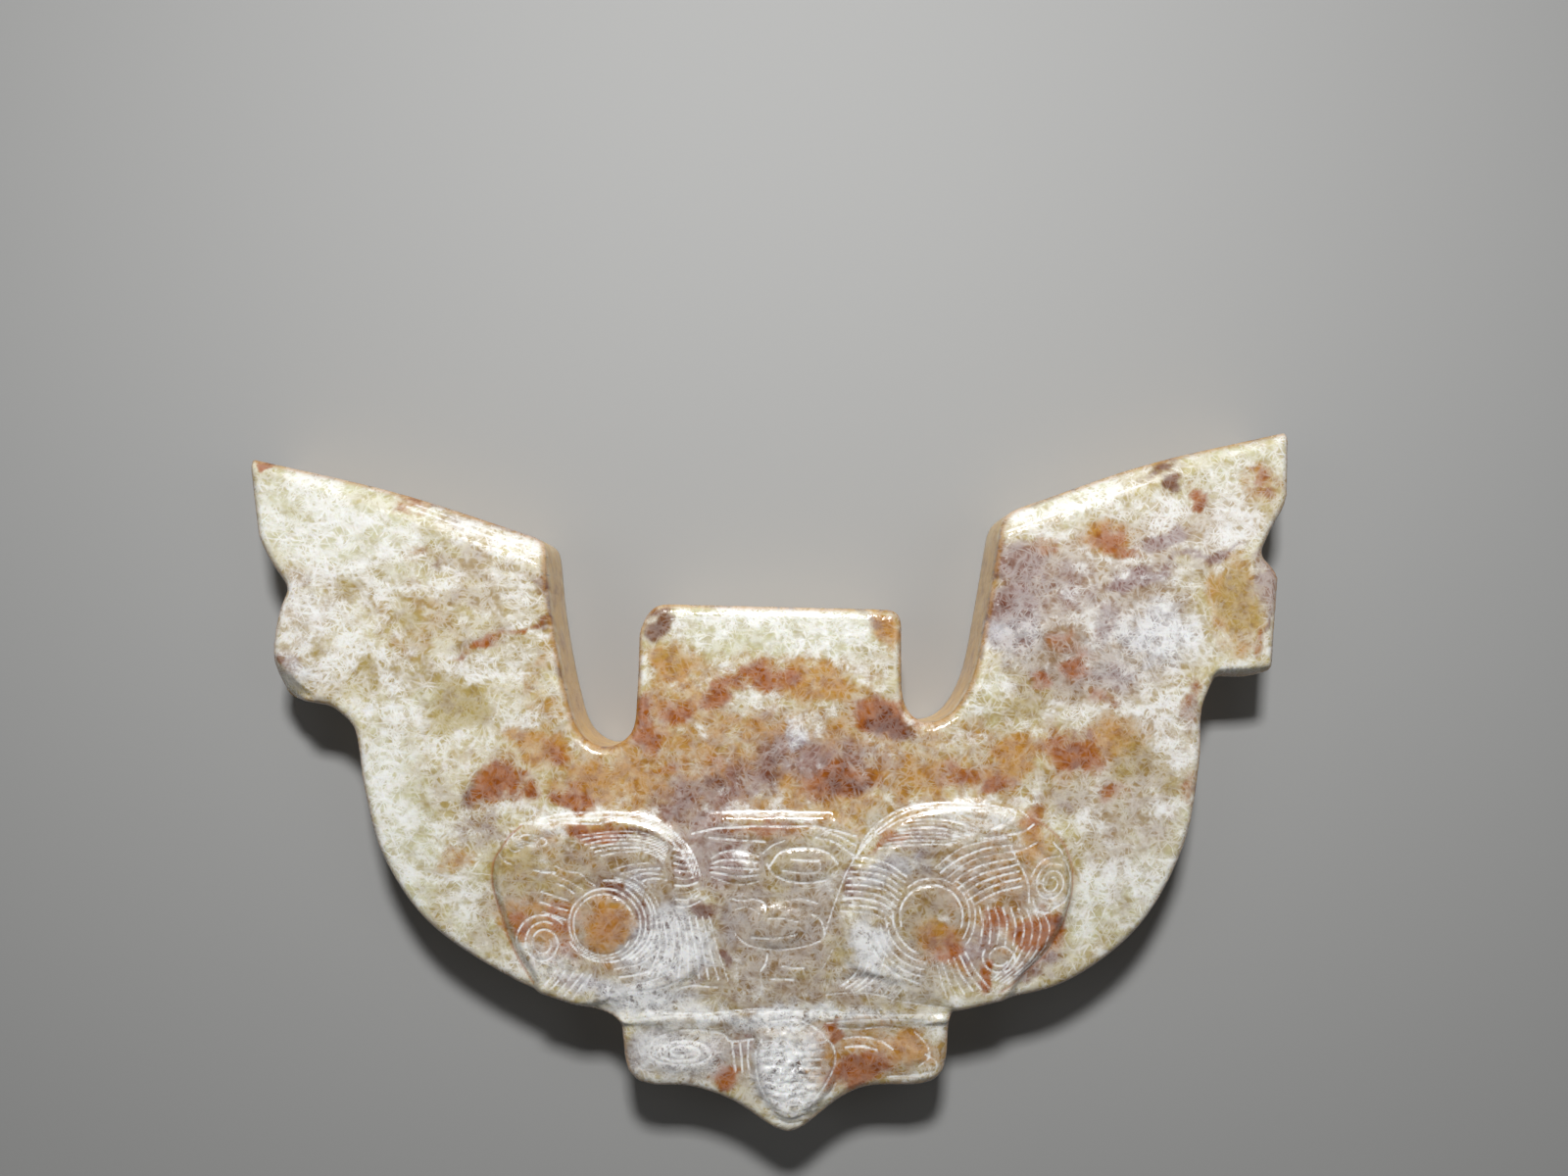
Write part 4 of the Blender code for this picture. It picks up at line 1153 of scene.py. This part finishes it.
def make_piece(settings):
    """The carved piece as a new mesh object."""
    noise.seed_set(NOISE_SEED)
    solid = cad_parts[SOLID_NODE]
    shell = bmesh.new()
    shell.from_mesh(solid.data)
    tree = BVHTree.FromBMesh(shell)
    bm = read_outline(solid)
    bmesh.ops.contextual_create(bm, geom=bm.verts[:] + bm.edges[:])
    cell = CELL * MILLIMETRE
    cells = bm.faces[:]
    for axis in (0, 1):
        cells = cut_across(bm, cells, axis, even_cuts(axis, cell))
    cut_finer(bm, wanted_fine(bm, tree), cell)
    bmesh.ops.remove_doubles(bm, verts=bm.verts, dist=CLOSEST_CORNERS * MILLIMETRE)
    lift_front(bm, tree)
    hand_finish(bm, settings)
    close_body(bm)
    shell.free()
    mesh = bpy.data.meshes.new(PIECE_NAME)
    bm.to_mesh(mesh)
    bm.free()
    mesh.shade_smooth()
    mesh.set_sharp_from_angle(angle=math.radians(SHARP_ANGLE))
    lay_attributes(mesh, settings)
    return put_in_scene(PIECE_NAME, mesh)


class NodeBench:
    """Adds nodes to one tree and joins them. A value may be a number, a colour or an output."""

    def __init__(self, tree):
        self.tree = tree

    def feed(self, socket, value):
        if isinstance(value, bpy.types.NodeSocket):
            self.tree.links.new(value, socket)
        elif value is not None:
            socket.default_value = value

    def add(self, kind, *values, **settings):
        node = self.tree.nodes.new(kind)
        for name, setting in settings.items():
            setattr(node, name, setting)
        for socket, value in zip(node.inputs, values):
            self.feed(socket, value)
        return node

    def math(self, operation, *values, clamp=False):
        return self.add("ShaderNodeMath", *values, operation=operation, use_clamp=clamp).outputs[0]

    def times(self, first, second, clamp=False):
        return self.math("MULTIPLY", first, second, clamp=clamp)

    def vector(self, operation, *values):
        return self.add("ShaderNodeVectorMath", *values, operation=operation).outputs[0]

    def scaled(self, vector, factor):
        node = self.add("ShaderNodeVectorMath", vector, operation="SCALE")
        self.feed(node.inputs["Scale"], factor)
        return node.outputs[0]

    def noise(self, where, scale, detail=3.0, roughness=0.5, output=0):
        node = self.add("ShaderNodeTexNoise")
        self.feed(node.inputs["Vector"], where)
        self.feed(node.inputs["Scale"], scale)
        self.feed(node.inputs["Detail"], detail)
        self.feed(node.inputs["Roughness"], roughness)
        return node.outputs[output]

    def mapped(self, where, location=(0, 0, 0), turn=(0, 0, 0), scale=(1, 1, 1)):
        node = self.add("ShaderNodeMapping", where)
        self.feed(node.inputs["Location"], location)
        self.feed(node.inputs["Rotation"], tuple(math.radians(angle) for angle in turn))
        self.feed(node.inputs["Scale"], scale)
        return node.outputs[0]

    def between(self, value, low, high):
        """0 below low, 1 above high, and smooth between them."""
        node = self.add("ShaderNodeMapRange", value, low, high, interpolation_type="SMOOTHSTEP")
        return node.outputs[0]

    def mix(self, factor, first, second, blend="MIX"):
        node = self.add("ShaderNodeMix", data_type="RGBA", blend_type=blend)
        self.feed(node.inputs[0], factor)
        for socket, value in zip(node.inputs[6:8], (first, second)):
            self.feed(socket, (*value, 1.0) if isinstance(value, tuple) else value)
        return node.outputs[2]

    def either(self, first, second):
        """One minus the product of what each leaves."""
        left = [self.math("SUBTRACT", 1.0, share) for share in (first, second)]
        return self.math("SUBTRACT", 1.0, self.times(*left))

    def attribute(self, name):
        return self.add("ShaderNodeAttribute", attribute_name=name).outputs["Fac"]

    def place(self):
        """The place on the stone in millimetres."""
        return self.scaled(self.add("ShaderNodeTexCoord").outputs["Object"], 1 / MILLIMETRE)

    def group(self, made, **values):
        node = self.add("ShaderNodeGroup", node_tree=made)
        for label, value in values.items():
            self.feed(node.inputs[label], value)
        return node.outputs


def new_group(name, inputs, outputs):
    """An empty shader group with named sockets, and a bench to fill it."""
    group = bpy.data.node_groups.new(name, "ShaderNodeTree")
    for label, kind, default in inputs:
        socket = group.interface.new_socket(label, in_out="INPUT", socket_type=kind)
        socket.default_value = default
    for label, kind in outputs:
        group.interface.new_socket(label, in_out="OUTPUT", socket_type=kind)
    bench = NodeBench(group)
    entry = group.nodes.new("NodeGroupInput")
    leave = group.nodes.new("NodeGroupOutput")
    return group, bench, entry.outputs, leave.inputs


def crossing_thread_group():
    """Thin white threads that wander and cross each other, as in weathered felted jade."""
    group, bench, given, out = new_group(
        "Crossing threads",
        [
            ("Place", "NodeSocketVector", (0, 0, 0)),
            ("Length", "NodeSocketFloat", 1.3),
            ("Spacing", "NodeSocketFloat", 0.4),
            ("Width", "NodeSocketFloat", 0.12),
        ],
        [("Threads", "NodeSocketFloat")],
    )
    bend = bench.noise(given["Place"], 1.1, 2.0, output=1)
    drift = bench.scaled(bench.vector("SUBTRACT", bend, (0.5, 0.5, 0.5)), 0.6)
    bent = bench.vector("ADD", given["Place"], drift)
    half_width = bench.times(given["Width"], 0.5)
    felt = None
    for index, turn in enumerate(THREAD_TURNS):
        crossing = bench.mapped(bent, location=(index * 7.3, index * 3.1, index), turn=(0, 0, turn))
        across = bench.add("ShaderNodeSeparateXYZ", crossing).outputs
        stretched = bench.add(
            "ShaderNodeCombineXYZ",
            bench.math("DIVIDE", across[0], given["Length"]),
            bench.math("DIVIDE", across[1], given["Spacing"]),
            bench.math("DIVIDE", across[2], given["Length"]),
        ).outputs[0]
        level = bench.noise(stretched, 1.0, 1.5)
        from_line = bench.math("ABSOLUTE", bench.math("SUBTRACT", level, 0.5))
        thread = bench.math("SUBTRACT", 1.0, bench.between(from_line, 0.0, half_width))
        felt = thread if felt is None else bench.math("MAXIMUM", felt, thread)
    gaps = bench.between(bench.noise(bent, 1.3, 2.0), 0.28, 0.56)
    bench.feed(out["Threads"], bench.times(felt, gaps))
    return group


def ragged_mask_group():
    """Turns a soft mask into one with broken, cloudy edges."""
    group, bench, given, out = new_group(
        "Ragged mask",
        [
            ("Mask", "NodeSocketFloat", 0.0),
            ("Cloud", "NodeSocketFloat", 0.5),
            ("Breaking", "NodeSocketFloat", STAIN_BREAKING),
        ],
        [("Mask", "NodeSocketFloat")],
    )
    cloud = bench.math("SUBTRACT", given["Cloud"], 0.5)
    broken = bench.math("MULTIPLY_ADD", cloud, given["Breaking"], given["Mask"])
    reach = bench.between(given["Mask"], 0.0, 0.3)
    bench.feed(out["Mask"], bench.times(bench.between(broken, 0.08, 0.95), reach))
    return group


def stained_stone(bench, where, clouds, ragged):
    """The ground and its stains, and how far the dark ones keep the white threads away."""
    colour = bench.mix(bench.between(bench.noise(where, 0.4, 4.0, 0.6), 0.4, 0.62), GROUND, GROUND_CLOUD)
    bare = None
    for index, (name, pigment) in enumerate(PIGMENTS.items()):
        breaking = -STAIN_BREAKING if index // 3 % 2 else STAIN_BREAKING
        stain = bench.attribute(name)
        mask = bench.group(ragged, Mask=stain, Cloud=clouds[index % 3], Breaking=breaking)[0]
        mask = bench.times(mask, STAIN_STRENGTH[name])
        colour = bench.mix(mask, colour, pigment)
        if name in BARE_STONE:
            share = bench.times(mask, BARE_STONE[name])
            bare = share if bare is None else bench.math("MAXIMUM", bare, share)
    depth = bench.between(bench.noise(where, 1.5, 4.0, 0.66), 0.42, 0.66)
    depth = bench.times(depth, bench.math("MULTIPLY_ADD", bare, 0.4, 0.4))
    return bench.mix(depth, colour, DEEP_STONE, blend="MULTIPLY"), bare


def felt_and_frost(bench, where, bare, fibres, given):
    """How white the felted threads and the frost between them make the stone."""
    cover = bench.noise(bench.mapped(where, location=(5, 31, 0), scale=(0.8, 1.3, 1.0)), 0.6, 4.0, 0.62)
    # Fog patches whiten the cover, and some of them are painted glints
    cover = bench.math("MULTIPLY_ADD", bench.attribute("fog"), 0.2, cover)
    cover = bench.math("MULTIPLY_ADD", bare, -0.26, cover)
    cover = bench.between(cover, 0.42, 0.66)
    frost = bench.times(cover, bench.math("MULTIPLY_ADD", fibres["nap"], 0.5, 0.1))
    frost = bench.times(frost, given["Frost Strength"])
    felt = bench.math("MAXIMUM", fibres["long"], bench.times(fibres["short"], 0.95))
    felt = bench.times(felt, bench.math("MULTIPLY_ADD", cover, 0.45, 0.55))
    felt = bench.times(felt, bench.math("MULTIPLY_ADD", bare, -0.75, 1.0))
    return bench.either(frost, bench.times(felt, given["Thread Strength"]))


def crusted(bench, where, colour, white, fibres):
    """The colour and the white with the pitted, netted crust of weathered places laid over them."""
    crust = bench.attribute("crust")
    pits = bench.between(bench.noise(bench.mapped(where, location=(3, 17, 5)), 1.6, 5.0, 0.72), 0.56, 0.44)
    shown_pits = bench.times(crust, bench.times(pits, 0.9))
    colour = bench.mix(shown_pits, colour, CRUST_GAP)
    net = bench.math("MAXIMUM", bench.math("MAXIMUM", fibres["long"], fibres["short"]), fibres["nap"])
    net = bench.times(net, bench.math("MULTIPLY_ADD", pits, -0.5, 1.2), clamp=True)
    white = bench.times(white, bench.math("MULTIPLY_ADD", crust, -0.6, 1.0))
    return colour, bench.either(white, bench.times(crust, net))


def jade_colour_group(threads, ragged):
    """The mottled stone: its ground, stains with some painted glints, white frost and threads, sides with a
    painted glow, cut lines with painted highlights and a painted shadow, and a darker band along the edge.
    """
    group, bench, given, out = new_group(
        "Mottled jade",
        [
            ("Frost Strength", "NodeSocketFloat", 0.8),
            ("Thread Strength", "NodeSocketFloat", 0.7),
            ("Line Strength", "NodeSocketFloat", 0.85),
        ],
        [("Color", "NodeSocketColor"), ("White", "NodeSocketFloat")],
    )
    where = bench.place()
    clouds = bench.add("ShaderNodeSeparateXYZ", bench.noise(where, 0.8, 5.0, 0.72, output=1)).outputs
    colour, bare = stained_stone(bench, where, clouds, ragged)
    side = bench.attribute("side")
    # The sides get their honey tone with a painted glow, which stands in for light through the stone onto
    # walls in shade
    side_tone_and_glow = bench.mix(bench.between(clouds[0], 0.4, 0.75), SIDE_STONE_AND_GLOW, SIDE_CLOUD)
    colour = bench.mix(bench.times(side, 0.85), colour, side_tone_and_glow)

    fibres = {}
    for kind, (shift, length, spacing, width) in THREADS.items():
        shifted = bench.mapped(where, location=shift)
        fibres[kind] = bench.group(threads, Place=shifted, Length=length, Spacing=spacing, Width=width)[0]
    white = felt_and_frost(bench, where, bare, fibres, given)
    white = bench.times(white, bench.math("MULTIPLY_ADD", side, -0.7, 1.0))
    colour, white = crusted(bench, where, colour, white, fibres)

    wear = bench.between(bench.noise(where, 2.8, 5.0, 0.65), 0.42, 0.55)
    # White cut lines, with painted highlights along the creases, the brows and the forehead bar
    lines = bench.between(bench.attribute("white_line"), 0.15, 0.75)
    lines = bench.times(lines, given["Line Strength"])
    lines = bench.times(lines, bench.math("MULTIPLY_ADD", wear, 0.7, 0.3))
    white = bench.either(white, lines)
    colour = bench.mix(white, colour, WHITE_FIBRE)
    # Paints the shadow of the raised eye panels' outer edges in dark russet
    colour = bench.mix(bench.times(bench.attribute("dark_line"), 0.8), colour, PIGMENTS["russet"])
    # A darker honey and oxblood band along the front's edge
    rim = bench.times(bench.between(bench.attribute("edge"), 0.4, 0.95), 0.6)
    rim_colour = bench.mix(bench.between(clouds[1], 0.5, 0.62), PIGMENTS["honey"], PIGMENTS["oxblood"])
    colour = bench.mix(rim, colour, rim_colour)
    bench.feed(out["Color"], colour)
    bench.feed(out["White"], white)
    return group


def jade_material(name, colour_group, roughness, relief, sawing, settings):
    """Jade with one finish: how rough it is, how strongly its texture stands out and its sawing arcs."""
    material = bpy.data.materials.new(name)
    material.use_nodes = True
    tree = material.node_tree
    shader = tree.nodes["Principled BSDF"]
    bench = NodeBench(tree)
    strengths = {
        "Frost Strength": settings.frost_strength,
        "Thread Strength": settings.thread_strength,
        "Line Strength": settings.line_strength,
    }
    stone = bench.group(colour_group, **strengths)
    where = bench.place()
    bench.feed(shader.inputs["Base Color"], stone["Color"])
    bench.feed(shader.inputs["Roughness"], bench.math("MULTIPLY_ADD", stone["White"], 0.2, roughness))
    height = bench.times(bench.noise(where, 1.8, 3.0, 0.55), relief)
    if sawing:
        from_corner = bench.vector("SUBTRACT", where, SAWING_CENTRE)
        far = bench.add("ShaderNodeVectorMath", from_corner, operation="LENGTH").outputs["Value"]
        arcs = bench.noise(bench.add("ShaderNodeCombineXYZ", far).outputs[0], 0.9, 2.0)
        height = bench.math("MULTIPLY_ADD", arcs, sawing, height)
    bump = bench.add("ShaderNodeBump")
    bench.feed(bump.inputs["Strength"], 1.0)
    bench.feed(bump.inputs["Distance"], MILLIMETRE)
    bench.feed(bump.inputs["Height"], height)
    bench.feed(shader.inputs["Normal"], bump.outputs[0])
    shader.inputs["IOR"].default_value = STONE_IOR
    shader.inputs["Subsurface Weight"].default_value = settings.translucency
    shader.inputs["Subsurface Radius"].default_value = STONE_SPREAD
    shader.inputs["Subsurface Scale"].default_value = settings.light_depth
    shader.inputs["Coat Weight"].default_value = POLISH_WEIGHT
    shader.inputs["Coat Roughness"].default_value = POLISH_ROUGHNESS
    return material


def dress_piece(piece, settings):
    """Polished jade on the front, ground on the sides and sawn on the back."""
    colour_group = jade_colour_group(crossing_thread_group(), ragged_mask_group())
    for name, finish in FINISHES.items():
        piece.data.materials.append(jade_material(name, colour_group, *finish, settings))
    order = list(FINISHES)
    for polygon in piece.data.polygons:
        if polygon.normal.z < BACK_FACING:
            polygon.material_index = order.index("sawn_jade")
        elif abs(polygon.normal.z) < SIDE_FACING:
            polygon.material_index = order.index("ground_jade")


def make_floor(settings):
    """A plain pale table top."""
    bm = bmesh.new()
    bmesh.ops.create_grid(bm, x_segments=1, y_segments=1, size=settings.floor_size)
    mesh = bpy.data.meshes.new("floor")
    bm.to_mesh(mesh)
    bm.free()
    floor = put_in_scene("floor", mesh)
    material = bpy.data.materials.new("floor_paper")
    material.use_nodes = True
    shader = material.node_tree.nodes["Principled BSDF"]
    shader.inputs["Base Color"].default_value = (*settings.floor_colour, 1.0)
    shader.inputs["Roughness"].default_value = 0.8
    mesh.materials.append(material)


def make_light(name, place_mm, aim_mm, size_mm, power):
    """A soft oblong light that faces a point."""
    light = bpy.data.lights.new(name, "AREA")
    light.shape = "RECTANGLE"
    light.size, light.size_y = (side * MILLIMETRE for side in size_mm)
    light.energy = power
    lamp = put_in_scene(name, light)
    lamp.location = Vector(place_mm) * MILLIMETRE
    lamp.rotation_euler = (Vector(aim_mm) - Vector(place_mm)).to_track_quat("-Z", "Y").to_euler()


def make_camera(settings):
    """A camera that looks straight down from close above the ornament."""
    camera = bpy.data.cameras.new("camera")
    camera.sensor_width = SENSOR_WIDTH
    camera.lens = settings.lens
    camera.shift_y = settings.camera_shift
    camera.clip_start, camera.clip_end = SEEN_FROM, SEEN_TO
    holder = put_in_scene("camera", camera)
    holder.location = Vector((settings.camera_across, settings.camera_up, settings.camera_height))
    bpy.context.scene.camera = holder


class JadeOrnamentSettings(bpy.types.PropertyGroup):
    """Sizes and finish of the carved stone."""

    line_width: bpy.props.FloatProperty(
        name="Line Width", description="Half the width of a fine cut line", default=0.00011, unit="LENGTH"
    )
    line_depth: bpy.props.FloatProperty(
        name="Line Depth", description="How deep a fine line is cut", default=0.00005, unit="LENGTH"
    )
    unevenness: bpy.props.FloatProperty(
        name="Unevenness", description="How far the polished front rises and falls", default=0.00003,
        unit="LENGTH",
    )
    beak_crust: bpy.props.FloatProperty(
        name="Beak Crust", description="How far the beak's weathered crust rises and falls", default=0.00016,
        unit="LENGTH",
    )
    frost_strength: bpy.props.FloatProperty(
        name="Frost Strength", description="How white the frosted patches are", default=0.85, subtype="FACTOR"
    )
    thread_strength: bpy.props.FloatProperty(
        name="Thread Strength", description="How white the crossing threads are", default=0.8,
        subtype="FACTOR",
    )
    line_strength: bpy.props.FloatProperty(
        name="Line Strength", description="How white the cut lines are", default=0.85, subtype="FACTOR"
    )
    translucency: bpy.props.FloatProperty(
        name="Translucency", description="Share of light that goes into the stone", default=0.18,
        subtype="FACTOR",
    )
    light_depth: bpy.props.FloatProperty(
        name="Light Depth", description="How far light spreads inside the stone", default=0.0006,
        unit="LENGTH",
    )


class JadeStageSettings(bpy.types.PropertyGroup):
    """The table, the lights and the camera."""

    floor_size: bpy.props.FloatProperty(
        name="Floor Size", description="Half the side of the table top", default=1.0, unit="LENGTH"
    )
    floor_colour: bpy.props.FloatVectorProperty(
        name="Floor Colour", description="Colour of the table top", default=(0.33, 0.33, 0.325), size=3,
        subtype="COLOR",
    )
    key_power: bpy.props.FloatProperty(
        name="Key Power", description="Power of the main light in watts", default=0.17, unit="POWER"
    )
    fill_power: bpy.props.FloatProperty(
        name="Fill Power", description="Power of each of the two side lights", default=0.032, unit="POWER"
    )
    edge_power: bpy.props.FloatProperty(
        name="Edge Power", description="Power of the low light beyond the prongs", default=0.03, unit="POWER"
    )
    room_light: bpy.props.FloatProperty(
        name="Room Light", description="Strength of the even light all round", default=0.026, subtype="FACTOR"
    )
    lens: bpy.props.FloatProperty(
        name="Lens", description="Focal length in millimetres", default=27.0, unit="CAMERA"
    )
    camera_shift: bpy.props.FloatProperty(
        name="Camera Shift", description="How far the view is moved up the picture", default=0.04875,
        subtype="FACTOR",
    )
    camera_across: bpy.props.FloatProperty(
        name="Camera Across", description="Camera's place across", default=0.00088, unit="LENGTH"
    )
    camera_up: bpy.props.FloatProperty(
        name="Camera Up", description="Camera's place up the ornament", default=0.00675, unit="LENGTH"
    )
    camera_height: bpy.props.FloatProperty(
        name="Camera Height", description="Camera's height over the table", default=0.0734, unit="LENGTH"
    )


class JADE_OT_carve_ornament(bpy.types.Operator):
    """Build the carved and stained stone over its solid"""

    bl_idname = "jade.carve_ornament"
    bl_label = "Carve Ornament"

    def execute(self, context):
        settings = context.scene.jade_ornament
        piece = make_piece(settings)
        dress_piece(piece, settings)
        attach(piece, "root")
        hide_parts(SOLID_NODE)
        return {"FINISHED"}


class JADE_OT_set_stage(bpy.types.Operator):
    """Lay the table top, set the lights and place the camera"""

    bl_idname = "jade.set_stage"
    bl_label = "Set Stage"

    def execute(self, context):
        settings = context.scene.jade_stage
        make_floor(settings)
        for name, (spot, aim, size, power) in LIGHTS.items():
            make_light(name, spot, aim, size, getattr(settings, power))
        context.scene.view_settings.view_transform = "Standard"
        world = bpy.data.worlds.new("room")
        world.use_nodes = True
        background = world.node_tree.nodes["Background"]
        background.inputs["Color"].default_value = (1.0, 1.0, 1.0, 1.0)
        background.inputs["Strength"].default_value = settings.room_light
        context.scene.world = world
        make_camera(settings)
        return {"FINISHED"}


class JADE_PT_panel(bpy.types.Panel):
    """The ornament's settings and operators in the sidebar."""

    bl_idname = "JADE_PT_panel"
    bl_label = "Jade Ornament"
    bl_space_type = "VIEW_3D"
    bl_region_type = "UI"
    bl_category = "Jade"

    def draw(self, context):
        layout = self.layout
        for label, settings, operator in (
            ("Ornament", context.scene.jade_ornament, JADE_OT_carve_ornament),
            ("Stage", context.scene.jade_stage, JADE_OT_set_stage),
        ):
            box = layout.box()
            box.label(text=label)
            for name in type(settings).__annotations__:
                box.prop(settings, name)
            box.operator(operator.bl_idname)


CLASSES = (JadeOrnamentSettings, JadeStageSettings, JADE_OT_carve_ornament, JADE_OT_set_stage, JADE_PT_panel)


def register():
    for item in CLASSES:
        bpy.utils.register_class(item)
    bpy.types.Scene.jade_ornament = bpy.props.PointerProperty(type=JadeOrnamentSettings)
    bpy.types.Scene.jade_stage = bpy.props.PointerProperty(type=JadeStageSettings)


def unregister():
    del bpy.types.Scene.jade_stage
    del bpy.types.Scene.jade_ornament
    for item in reversed(CLASSES):
        bpy.utils.unregister_class(item)


def main():
    register()
    bpy.ops.jade.carve_ornament()
    bpy.ops.jade.set_stage()


if __name__ == "__main__":
    main()
